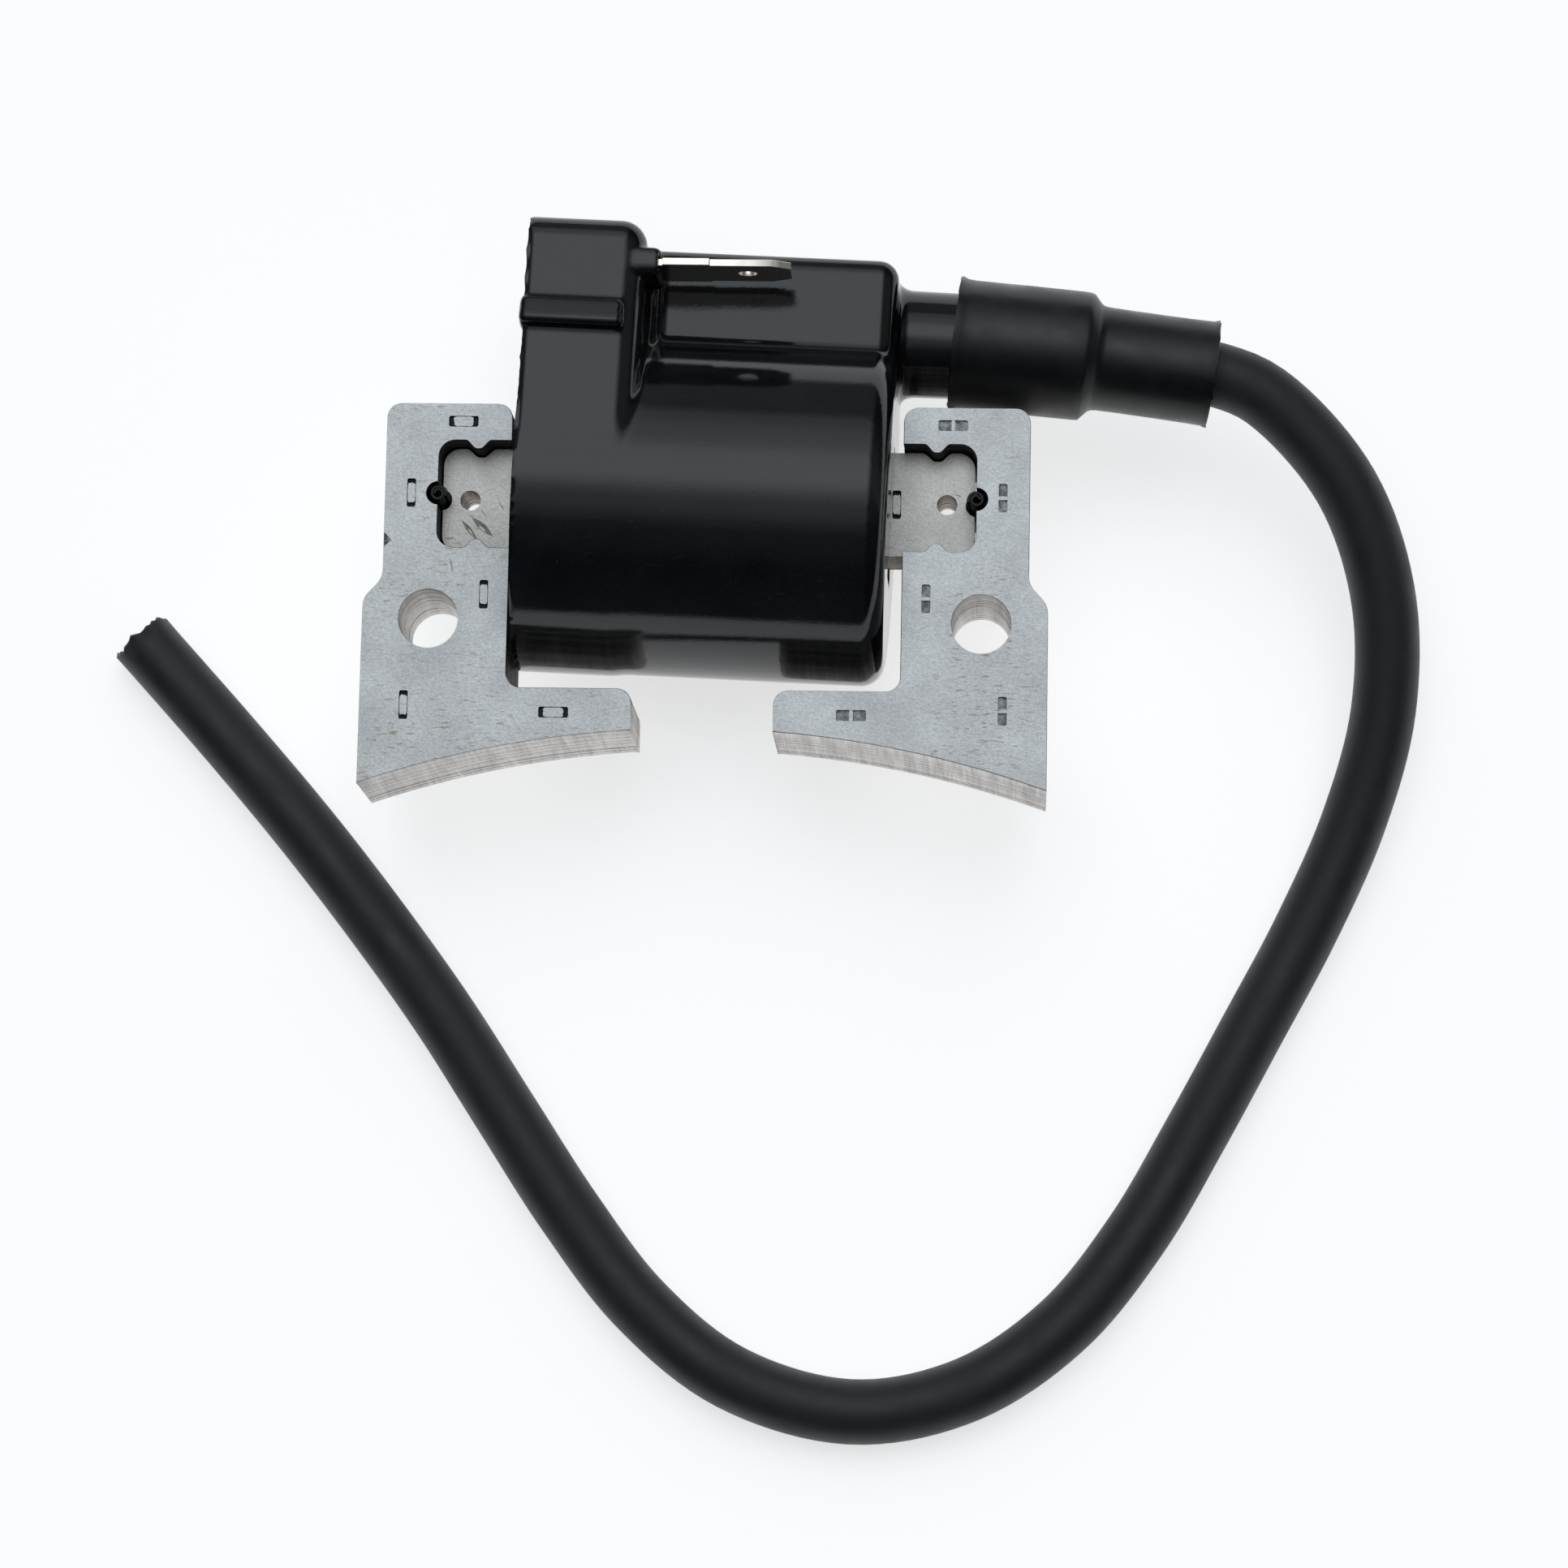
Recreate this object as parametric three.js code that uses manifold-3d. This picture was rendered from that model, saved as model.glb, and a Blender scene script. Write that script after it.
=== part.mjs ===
// Ignition coil of a small engine: two laminated pole legs joined by a laminated core bar, a potted
// moulded housing round the bar, a rubber boot and a high-tension lead.
// Millimetres. +Z is the normal of the laminations, +Y points away from the flywheel, and the part
// lies flat on the round underside of its housing, as it lies on a bench.
import * as THREE from "three";
import { mergeVertices } from "three/addons/utils/BufferGeometryUtils.js";
import Module from "manifold-3d";

const wasm = await Module();
wasm.setup();

// Where the bolt-hole centre line and the middle of the laminations are in the part's frame.
const HOLE_LINE_Y = -11.7;
const CORE_MID_Z = 18.6;

// Pole legs, measured from the bolt-hole centre line and the symmetry plane.
const LEG = {
  thickness: 14.5,
  skin: 0.5, // one lamination, at the front and at the back of the stack
  shoulderX: 35.1,
  outerX: 37.2,
  innerX: 21.35,
  topY: 23.9,
  shoulderY: 5.4,
  bulgeY: 1.2,
  footY: -18.3,
  shoeTopY: -7.5,
  shoeTipX: 7.68,
  shoeTipY: -12.2,
  cornerR: 1.6,
};
const FLYWHEEL = { radius: 112, centreY: -123.8 };
const BOLT = { spacing: 60, hole: 6.5 };
const POCKET = { outerX: 29.3, lowY: 7.9, highY: 19.8, bumpX: 25, bumpHalf: 1.3, bumpDepth: 0.95 };
const PIN = { diameter: 2.1, hole: 2.5, bore: 1, length: 14.3, leftY: 13.9, rightY: 13.75 };

// Core bar.
const CORE = { midY: 13.85, thickness: 7.25, fit: 0.25, holeX: 26.1, hole: 2.2 };

// Housing, measured from the core's axis; it sits slightly turned on the bar.
const HOUSING_TURN = THREE.MathUtils.degToRad(-2.2);
const CUP = { radius: 18.6, wall: 1.8, leftX: -20, rightX: 20, roundR: 2.6 };
const BLOCK = { rightX: -7.4, topY: 27.95, cornerR: 2.4, wall: 1.8 };
const BOX = { rightX: 19.6, topY: 27.3, lowY: 9, halfZ: 8.4, cornerR: 2.2, wall: 1.9 };
const TOWER = { axisY: 19.7, radius: 5.9, endX: 34, bore: 4.1, boreX: 21.4 };
const SPIKE = { radius: 0.75, hole: 1.1, headR: 2.2, headX: 15.2, headLength: 1.2, endX: 26.9 };
const RIB = { leftX: -20.5, rightX: -9.4, midY: 16.95, height: 3.2, proud: 1.3 };
const FLANGE = { rightX: -6.3, topY: 25.5, frontZ: 9.6 };
const WINDOW = { height: 13.6, thickness: 8.1 };

// Stop-switch blade, beside the block and above the box; it tips up a little where it leaves its nub.
const BLADE = {
  rootX: -9,
  tipX: 8.2,
  y: 23.2,
  width: 6.3,
  thickness: 0.8,
  midZ: 14.3,
  hole: 2.1,
  holeX: 3.5,
  chamferX: 2.1,
  chamferZ: 1.2,
  tip: 2.1, // degrees
};
const NUB = { leftX: -7.4, rightX: -5.65, midY: 23.45, height: 2.7, width: 8.2 };

// Windings, all centred on the core's axis inside the cup.
const PRIMARY = { wall: 1, winding: 1.5, halfLength: 15 };
const SECONDARY = { wall: 1, winding: 1.9, sections: 6, flange: 0.9, halfLength: 14, flangeR: 15.2 };
const WINDING_GAP = 0.3;

// Circuit board and its components, in the block.
const BOARD = { leftX: -17, rightX: -10, y: 20.2, thickness: 1.2, halfZ: 14.5 };

// Rubber boot and high-tension lead.
const BOOT = {
  startX: 26,
  startY: 20.05,
  wideR: 7.1,
  wideLength: 14.6,
  shoulder: 1.6,
  narrowR: 5.7,
  narrowLength: 12.2,
};
const BOOT_TILT = { wide: -3.3, narrow: -4.8, down: 3.2 }; // degrees; it sits a little askew
const LEAD = { radius: 3.6, bore: 1.3, conductor: 0.9, sides: 10, steps: 34 };
// The lead's centre line, in the part's own frame: out of the tower, down to the bench and round.
const LEAD_ROUTE = [
  [25.6, 20.9, 18.6],
  [34.7, 20.4, 18.6],
  [41.7, 19.8, 18.5],
  [48.6, 19.1, 18.3],
  [55.3, 18.1, 17.9],
  [61, 15.8, 17.1],
  [69.8, 6.5, 14.8],
  [74.2, -5.2, 11.6],
  [74.5, -17.6, 8.2],
  [71.4, -29.7, 5.4],
  [66.3, -41.5, 3.9],
  [60.3, -53, 3.62],
  [54.2, -64.5, 3.62],
  [47.8, -75.7, 3.62],
  [39.8, -85.8, 3.62],
  [29.3, -93, 3.62],
  [16.8, -95.6, 3.62],
  [3.5, -92.1, 3.62],
  [-6.7, -84.3, 3.62],
  [-14.8, -74.2, 3.62],
  [-22.1, -63.4, 3.62],
  [-29.4, -52.5, 3.62],
  [-36.8, -42.6, 3.62],
  [-45, -32.4, 3.62],
  [-53.8, -22.3, 3.62],
  [-64.4, -10.7, 3.62],
];

const STEEL = { color: 0xb4b9bd, roughness: 0.42, metalness: 0.9 };
const CORE_STEEL = { color: 0xa5a09b, roughness: 0.55, metalness: 0.85 };
const SPRING_STEEL = { color: 0x25272a, roughness: 0.5, metalness: 0.8 };
const MOULDING = { color: 0x101112, roughness: 0.18, metalness: 0 };
const RESIN = { color: 0x1b1b1c, roughness: 0.5, metalness: 0 };
const BOBBIN_PLASTIC = { color: 0xd8d2bf, roughness: 0.5, metalness: 0 };
const COPPER = { color: 0xb5602c, roughness: 0.35, metalness: 0.9 };
const FINE_COPPER = { color: 0x8a3d1c, roughness: 0.45, metalness: 0.7 };
const TIN = { color: 0xd9dadc, roughness: 0.25, metalness: 1 };
const LAMINATE = { color: 0x2f6a3a, roughness: 0.55, metalness: 0 };
const COMPONENT = { color: 0x1a1a1c, roughness: 0.6, metalness: 0 };
const CERAMIC = { color: 0xb98f5a, roughness: 0.5, metalness: 0 };
const RUBBER = { color: 0x232526, roughness: 0.5, metalness: 0 };
const JACKET = { color: 0x232527, roughness: 0.6, metalness: 0 };

// ---- solids ----

function solid(geometry, place = new THREE.Matrix4()) {
  const bare = geometry.clone().applyMatrix4(place);
  bare.deleteAttribute("normal");
  bare.deleteAttribute("uv");
  const merged = mergeVertices(bare, 1e-4);
  const vertProperties = merged.attributes.position.array;
  const triVerts = new Uint32Array(merged.index.array);
  return new wasm.Manifold(new wasm.Mesh({ numProp: 3, vertProperties, triVerts }));
}

function geometryOf(manifold) {
  const mesh = manifold.getMesh();
  const geometry = new THREE.BufferGeometry();
  geometry.setAttribute("position", new THREE.BufferAttribute(mesh.vertProperties, 3));
  geometry.setIndex(new THREE.BufferAttribute(mesh.triVerts, 1));
  return geometry;
}

function piece(name, shape, material) {
  const geometry = shape.isBufferGeometry ? shape : geometryOf(shape);
  const mesh = new THREE.Mesh(geometry, new THREE.MeshStandardMaterial(material));
  mesh.name = name;
  return mesh;
}

const at = (x, y, z) => new THREE.Matrix4().makeTranslation(x, y, z);

// A plate of the outline, from z = low to z = high.
function plate(outline, low, high, curveSegments = 3) {
  const depth = high - low;
  const geometry = new THREE.ExtrudeGeometry(outline, { depth, bevelEnabled: false, curveSegments });
  return solid(geometry, at(0, 0, low));
}

// A bar along X whose section is the outline, drawn in (y, z).
function bar(outline, left, right, curveSegments = 2) {
  const depth = right - left;
  const geometry = new THREE.ExtrudeGeometry(outline, { depth, bevelEnabled: false, curveSegments });
  const turn = new THREE.Matrix4().makeBasis(
    new THREE.Vector3(0, 1, 0),
    new THREE.Vector3(0, 0, 1),
    new THREE.Vector3(1, 0, 0),
  );
  return solid(geometry, at(left, 0, 0).multiply(turn));
}

function block(left, right, low, high, back, front) {
  const geometry = new THREE.BoxGeometry(right - left, high - low, front - back);
  return solid(geometry, at((left + right) / 2, (low + high) / 2, (back + front) / 2));
}

// A cylinder along X or Z.
function rod(radius, low, high, axis, a, b, sides = 24) {
  const geometry = new THREE.CylinderGeometry(radius, radius, high - low, sides);
  const middle = (low + high) / 2;
  if (axis === "x") return solid(geometry.rotateZ(-Math.PI / 2), at(middle, a, b));
  return solid(geometry.rotateX(Math.PI / 2), at(a, b, middle));
}

// A solid of revolution about X from a closed (x, radius) profile.
function turned(profile, sides, y) {
  const points = profile.map(([x, r]) => new THREE.Vector2(r, x));
  const geometry = new THREE.LatheGeometry(points, sides);
  return solid(geometry.rotateZ(-Math.PI / 2), at(0, y, 0));
}

// A rectangle with round corners, centred on (x, y).
function roundRect(x, y, width, height, radius) {
  const [l, r, b, t] = [x - width / 2, x + width / 2, y - height / 2, y + height / 2];
  const shape = new THREE.Shape();
  shape.moveTo(l + radius, b);
  shape.lineTo(r - radius, b);
  shape.absarc(r - radius, b + radius, radius, -Math.PI / 2, 0, false);
  shape.lineTo(r, t - radius);
  shape.absarc(r - radius, t - radius, radius, 0, Math.PI / 2, false);
  shape.lineTo(l + radius, t);
  shape.absarc(l + radius, t - radius, radius, Math.PI / 2, Math.PI, false);
  shape.lineTo(l, b + radius);
  shape.absarc(l + radius, b + radius, radius, Math.PI, 1.5 * Math.PI, false);
  return shape;
}

function mirroredInX(manifold) {
  return manifold.mirror([1, 0, 0]);
}

// ---- pole legs ----

// The right leg's lamination; the left one is its mirror image.
function legOutline() {
  const r = LEG.cornerR;
  const footAngle = Math.atan2(LEG.footY - FLYWHEEL.centreY, LEG.outerX);
  const tipAngle = Math.atan2(LEG.shoeTipY - FLYWHEEL.centreY, LEG.shoeTipX);
  const shape = new THREE.Shape();
  shape.moveTo(LEG.shoeTipX, LEG.shoeTopY - r);
  shape.lineTo(LEG.shoeTipX, LEG.shoeTipY);
  shape.absarc(0, FLYWHEEL.centreY, FLYWHEEL.radius, tipAngle, footAngle, true);
  shape.lineTo(LEG.outerX, LEG.bulgeY);
  const pull = (LEG.shoulderY - LEG.bulgeY) / 2;
  shape.bezierCurveTo(
    LEG.outerX,
    LEG.bulgeY + pull,
    LEG.shoulderX,
    LEG.shoulderY - pull,
    LEG.shoulderX,
    LEG.shoulderY,
  );
  shape.lineTo(LEG.shoulderX, LEG.topY - r);
  shape.absarc(LEG.shoulderX - r, LEG.topY - r, r, 0, Math.PI / 2, false);
  shape.lineTo(LEG.innerX + r, LEG.topY);
  shape.absarc(LEG.innerX + r, LEG.topY - r, r, Math.PI / 2, Math.PI, false);
  shape.lineTo(LEG.innerX, LEG.shoeTopY + r);
  shape.absarc(LEG.innerX - r, LEG.shoeTopY + r, r, 0, -Math.PI / 2, true);
  shape.lineTo(LEG.shoeTipX + r, LEG.shoeTopY);
  shape.absarc(LEG.shoeTipX + r, LEG.shoeTopY - r, r, Math.PI / 2, Math.PI, false);
  return shape;
}

// The pocket that takes one end of the core bar, or that end itself when shrunk by the fit.
function pocketOutline(fit, innerX) {
  const low = POCKET.lowY + fit;
  const high = POCKET.highY - fit;
  const outer = POCKET.outerX - fit;
  const half = POCKET.bumpHalf + fit;
  const depth = POCKET.bumpDepth;
  const r = 1.8;
  const shape = new THREE.Shape();
  shape.moveTo(innerX, low);
  shape.lineTo(POCKET.bumpX - half, low);
  shape.absellipse(POCKET.bumpX, low, half, depth, Math.PI, 0, true);
  shape.lineTo(outer - r, low);
  shape.absarc(outer - r, low + r, r, -Math.PI / 2, 0, false);
  shape.lineTo(outer, high - r);
  shape.absarc(outer - r, high - r, r, 0, Math.PI / 2, false);
  shape.lineTo(POCKET.bumpX + half, high);
  shape.absellipse(POCKET.bumpX, high, half, depth, 0, Math.PI, true);
  shape.lineTo(innerX, high);
  return shape;
}

function legSlice(low, high, pinY) {
  const margin = 1;
  const body = plate(legOutline(), low, high);
  const pocket = plate(pocketOutline(0, LEG.innerX - margin), low - margin, high + margin, 2);
  const bolt = rod(BOLT.hole / 2, low - margin, high + margin, "z", BOLT.spacing / 2, 0, 24);
  const pin = rod(PIN.hole / 2, low - margin, high + margin, "z", POCKET.outerX, pinY, 12);
  return body.subtract(pocket).subtract(bolt).subtract(pin);
}

function poleLegs() {
  const half = LEG.thickness / 2;
  const slices = [
    ["leg_front_lamination", half - LEG.skin, half],
    ["leg_lamination_stack", LEG.skin - half, half - LEG.skin],
    ["leg_back_lamination", -half, LEG.skin - half],
  ];
  const meshes = [];
  for (const [name, low, high] of slices) {
    meshes.push(piece("right_" + name, legSlice(low, high, PIN.rightY), STEEL));
    meshes.push(piece("left_" + name, mirroredInX(legSlice(low, high, PIN.leftY)), STEEL));
  }
  return meshes;
}

// ---- core bar and its pins ----

// The right half of the bar.
function coreHalf(low, high, pinY) {
  const margin = 1;
  const end = plate(pocketOutline(CORE.fit, -margin), low, high, 2);
  const holes = rod(CORE.hole / 2, low - margin, high + margin, "z", CORE.holeX, CORE.midY, 10).add(
    rod(PIN.hole / 2, low - margin, high + margin, "z", POCKET.outerX, pinY, 12),
  );
  return end.subtract(holes);
}

function coreSlice(low, high) {
  return coreHalf(low, high, PIN.rightY).add(mirroredInX(coreHalf(low, high, PIN.leftY)));
}

function coreBar() {
  const half = CORE.thickness / 2;
  return [
    piece("core_front_lamination", coreSlice(half - LEG.skin, half), CORE_STEEL),
    piece("core_lamination_stack", coreSlice(LEG.skin - half, half - LEG.skin), CORE_STEEL),
    piece("core_back_lamination", coreSlice(-half, LEG.skin - half), CORE_STEEL),
  ];
}

// A spring pin rolled from strip, with its slot facing outwards.
function springPin(side) {
  const slot = 0.35;
  const outer = PIN.diameter / 2;
  const inner = PIN.bore / 2;
  const shape = new THREE.Shape();
  shape.absarc(0, 0, outer, slot, 2 * Math.PI - slot, false);
  shape.absarc(0, 0, inner, 2 * Math.PI - slot, slot, true);
  const pin = plate(shape, -PIN.length / 2, PIN.length / 2, 5);
  const placed =
    side === "right"
      ? pin.translate([POCKET.outerX, PIN.rightY, 0])
      : mirroredInX(pin.translate([POCKET.outerX, PIN.leftY, 0]));
  return piece(side + "_spring_pin", placed, SPRING_STEEL);
}

// ---- housing, in a frame whose X axis is its own axis ----

// The mouth's outline in (y, z): a half round below and a square head above.
function mouthOutline(inset) {
  const radius = CUP.radius - inset;
  const top = BLOCK.topY - inset;
  const r = Math.max(BLOCK.cornerR - inset, 0.8);
  const shape = new THREE.Shape();
  shape.moveTo(0, -radius);
  shape.lineTo(top - r, -radius);
  shape.absarc(top - r, r - radius, r, -Math.PI / 2, 0, false);
  shape.lineTo(top, radius - r);
  shape.absarc(top - r, radius - r, r, 0, Math.PI / 2, false);
  shape.lineTo(0, radius);
  shape.absarc(0, 0, radius, Math.PI / 2, 1.5 * Math.PI, false);
  return shape;
}

// The cup's outside: a barrel with a rounded right-hand edge.
function cupBody() {
  const edge = new THREE.Path();
  edge.moveTo(0, CUP.leftX);
  edge.lineTo(CUP.radius, CUP.leftX);
  edge.lineTo(CUP.radius, CUP.rightX - CUP.roundR);
  edge.absarc(CUP.radius - CUP.roundR, CUP.rightX - CUP.roundR, CUP.roundR, 0, Math.PI / 2, false);
  edge.lineTo(0, CUP.rightX);
  const profile = edge.getPoints(2).map((p) => [p.y, p.x]);
  return turned(profile, 40, 0);
}

function housingShell() {
  const margin = 1;
  const boxHeight = BOX.topY - BOX.lowY;
  const boxMid = (BOX.topY + BOX.lowY) / 2;
  const boxSection = roundRect(boxMid, 0, boxHeight, 2 * BOX.halfZ, BOX.cornerR);
  const cavityHeight = boxHeight - 2 * BOX.wall;
  const cavitySection = roundRect(boxMid - 1, 0, cavityHeight + 2, 2 * (BOX.halfZ - BOX.wall), 0.8);
  const tower = rod(TOWER.radius, BOX.rightX - 2, TOWER.endX, "x", TOWER.axisY, 0, 24);
  const rib = bar(
    roundRect(RIB.midY, CUP.radius - 0.4, RIB.height, 2 * (RIB.proud + 0.4), 1.2),
    RIB.leftX,
    RIB.rightX,
  );
  const flange = block(BLOCK.rightX - 1, FLANGE.rightX, BOX.lowY, FLANGE.topY, -FLANGE.frontZ, FLANGE.frontZ);
  const nubLow = NUB.midY - NUB.height / 2;
  const nubHigh = NUB.midY + NUB.height / 2;
  const nubBack = BLADE.midZ - NUB.width / 2;
  const nubFront = BLADE.midZ + NUB.width / 2;
  const nub = block(NUB.leftX - 1, NUB.rightX, nubLow, nubHigh, nubBack, Math.min(nubFront, CUP.radius - 0.4));
  const outside = cupBody()
    .add(bar(mouthOutline(0), CUP.leftX, BLOCK.rightX, 10))
    .add(bar(boxSection, BLOCK.rightX - margin, BOX.rightX))
    .add(tower)
    .add(flange)
    .add(nub);
  const coilRoom = rod(CUP.radius - CUP.wall, CUP.leftX - margin, CUP.rightX - CUP.wall, "x", 0, 0, 32);
  const mouthRoom = bar(mouthOutline(BLOCK.wall), CUP.leftX - margin, BLOCK.rightX - BLOCK.wall, 8);
  const boxRoom = bar(cavitySection, BLOCK.rightX - 2 * BLOCK.wall, BOX.rightX - BOX.wall);
  const [h, t] = [WINDOW.height / 2, WINDOW.thickness / 2];
  const window = block(CUP.rightX - 2 * CUP.wall, CUP.rightX + margin, -h, h, -t, t);
  const bore = rod(TOWER.bore, TOWER.boreX, TOWER.endX + margin, "x", TOWER.axisY, 0, 20);
  const spikeHole = rod(SPIKE.hole, BOX.rightX - 3, TOWER.boreX + margin, "x", TOWER.axisY, 0, 12);
  const [w, s] = [BLADE.width / 2 + 0.3, BLADE.thickness / 2 + 0.3];
  const bladeSlot = block(
    BLADE.rootX - margin,
    NUB.rightX + margin,
    BLADE.y - s,
    BLADE.y + s,
    BLADE.midZ - w,
    BLADE.midZ + w,
  );
  return outside
    .subtract(coilRoom)
    .subtract(mouthRoom)
    .subtract(boxRoom)
    .subtract(window)
    .subtract(bore)
    .subtract(spikeHole)
    .subtract(bladeSlot)
    .add(rib);
}

// ---- windings and potting ----

// A tube along X of rectangular bore with round outer corners.
function sleeve(boreY, boreZ, wall, left, right, cornerR) {
  const outer = bar(roundRect(0, 0, boreY + 2 * wall, boreZ + 2 * wall, cornerR), left, right);
  return outer.subtract(block(left - 1, right + 1, -boreY / 2, boreY / 2, -boreZ / 2, boreZ / 2));
}

// A winding: a round-cornered ring about a round-cornered sleeve.
function winding(innerY, innerZ, depth, left, right, innerR) {
  const outer = roundRect(0, 0, innerY + 2 * depth, innerZ + 2 * depth, innerR + depth);
  outer.holes.push(new THREE.Path(roundRect(0, 0, innerY, innerZ, innerR).getPoints(2).reverse()));
  return bar(outer, left, right);
}

function coilPieces() {
  const meshes = [];
  const primaryY = WINDOW.height + 2 * PRIMARY.wall;
  const primaryZ = WINDOW.thickness + 2 * PRIMARY.wall;
  const collar = 0.8;
  const reach = PRIMARY.halfLength;
  const tube = sleeve(WINDOW.height, WINDOW.thickness, PRIMARY.wall, -reach - collar, reach + collar, 1);
  const collars = [-reach - collar, reach].map((x) =>
    sleeve(WINDOW.height, WINDOW.thickness, PRIMARY.wall + PRIMARY.winding, x, x + collar, 1.5),
  );
  meshes.push(piece("primary_bobbin", tube.add(collars[0]).add(collars[1]), BOBBIN_PLASTIC));
  const g = WINDING_GAP;
  const primary = winding(
    primaryY + 2 * g,
    primaryZ + 2 * g,
    PRIMARY.winding - 2 * g,
    g - reach,
    reach - g,
    1,
  );
  meshes.push(piece("primary_winding", primary, COPPER));

  const boreY = primaryY + 2 * PRIMARY.winding + 2 * g;
  const boreZ = primaryZ + 2 * PRIMARY.winding + 2 * g;
  const tubeY = boreY + 2 * SECONDARY.wall;
  const tubeZ = boreZ + 2 * SECONDARY.wall;
  const far = SECONDARY.halfLength;
  let bobbin = sleeve(boreY, boreZ, SECONDARY.wall, -far, far, 1);
  const pitch = (2 * far - SECONDARY.flange) / SECONDARY.sections;
  const hollow = block(-far - 1, far + 1, -boreY / 2, boreY / 2, -boreZ / 2, boreZ / 2);
  for (let i = 0; i <= SECONDARY.sections; i++) {
    const left = -far + i * pitch;
    bobbin = bobbin.add(rod(SECONDARY.flangeR, left, left + SECONDARY.flange, "x", 0, 0, 20).subtract(hollow));
    if (i === SECONDARY.sections) break;
    const wound = winding(
      tubeY + 2 * g,
      tubeZ + 2 * g,
      SECONDARY.winding - g,
      left + SECONDARY.flange + g,
      left + pitch - g,
      1,
    );
    meshes.push(piece("secondary_winding_" + (i + 1), wound, FINE_COPPER));
  }
  meshes.push(piece("secondary_bobbin", bobbin, BOBBIN_PLASTIC));
  return meshes;
}

// Resin: a plug that closes the mouth round the core, and a sleeve round the windings.
function pottingPieces() {
  const g = 0.3;
  const front = CUP.leftX + 0.5;
  const back = CUP.leftX + 2.6;
  const [h, t] = [WINDOW.height / 2, WINDOW.thickness / 2];
  const plug = bar(mouthOutline(BLOCK.wall + g), front, back, 8).subtract(
    block(front - 1, back + 1, -h, h, -t, t),
  );
  const outer = CUP.radius - CUP.wall - g;
  const inner = SECONDARY.flangeR + g;
  const ring = rod(outer, -SECONDARY.halfLength, SECONDARY.halfLength, "x", 0, 0, 24).subtract(
    rod(inner, -SECONDARY.halfLength - 1, SECONDARY.halfLength + 1, "x", 0, 0, 24),
  );
  return [piece("mouth_potting", plug, RESIN), piece("winding_potting", ring, RESIN)];
}

// ---- circuit ----

function circuitPieces() {
  const g = 0.3;
  const top = BOARD.y + BOARD.thickness / 2 + g;
  const board = block(
    BOARD.leftX,
    BOARD.rightX,
    BOARD.y - BOARD.thickness / 2,
    BOARD.y + BOARD.thickness / 2,
    -BOARD.halfZ,
    BOARD.halfZ,
  );
  const body = (x, z, width, height, length) =>
    block(x - width / 2, x + width / 2, top, top + height, z - length / 2, z + length / 2);
  const spike = rod(SPIKE.radius, SPIKE.headX, SPIKE.endX, "x", TOWER.axisY, 0, 12);
  const head = rod(SPIKE.headR, SPIKE.headX, SPIKE.headX + SPIKE.headLength, "x", TOWER.axisY, 0, 16);
  const wireRoute = new THREE.CatmullRomCurve3([
    new THREE.Vector3(14.6, 13.6, 0),
    new THREE.Vector3(14.5, 15.6, 0),
    new THREE.Vector3(14.4, 17.8, 0),
    new THREE.Vector3(14.5, TOWER.axisY + 0.6, 0),
  ]);
  const wire = new THREE.ExtrudeGeometry(disc(0.4), {
    extrudePath: wireRoute,
    steps: 6,
    curveSegments: 4,
  });
  const strapLow = WINDOW.height / 2 - 1.3;
  const strap = block(-17.1, -16.6, strapLow, BOARD.y - BOARD.thickness / 2 - g, -2, 2);
  return [
    piece("circuit_board", board, LAMINATE),
    piece("power_transistor", body(-13.5, -9, 5, 2.6, 6.5), COMPONENT),
    piece("driver_chip", body(-13.5, -1, 4, 1.7, 5), COMPONENT),
    piece("capacitor", body(-13.5, 5.5, 4, 3, 4), CERAMIC),
    piece("resistor", body(-15, 11, 1.6, 0.8, 3.2), COMPONENT),
    piece("diode", body(-12, 11, 1.8, 1.4, 3.6), COMPONENT),
    piece("high_tension_spike", spike.add(head), TIN),
    piece("high_tension_link", solid(wire), COPPER),
    piece("ground_strap", strap, TIN),
  ];
}

// ---- stop-switch blade ----

function terminalBlade() {
  const half = BLADE.width / 2;
  const root = BLADE.rootX - NUB.rightX;
  const tip = BLADE.tipX - NUB.rightX;
  const shape = new THREE.Shape();
  shape.moveTo(root, -half);
  shape.lineTo(tip - BLADE.chamferX, -half);
  shape.lineTo(tip, BLADE.chamferZ - half);
  shape.lineTo(tip, half - BLADE.chamferZ);
  shape.lineTo(tip - BLADE.chamferX, half);
  shape.lineTo(root, half);
  const hole = new THREE.Path();
  hole.absarc(BLADE.holeX - NUB.rightX, 0, BLADE.hole / 2, 0, 2 * Math.PI, true);
  shape.holes.push(hole);
  const flat = plate(shape, -BLADE.thickness / 2, BLADE.thickness / 2, 7);
  const tipped = flat.rotate([90, 0, 0]).rotate([0, 0, BLADE.tip]);
  return piece("terminal_blade", tipped.translate([NUB.rightX, BLADE.y, BLADE.midZ]), TIN);
}

// ---- boot and lead ----

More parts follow.
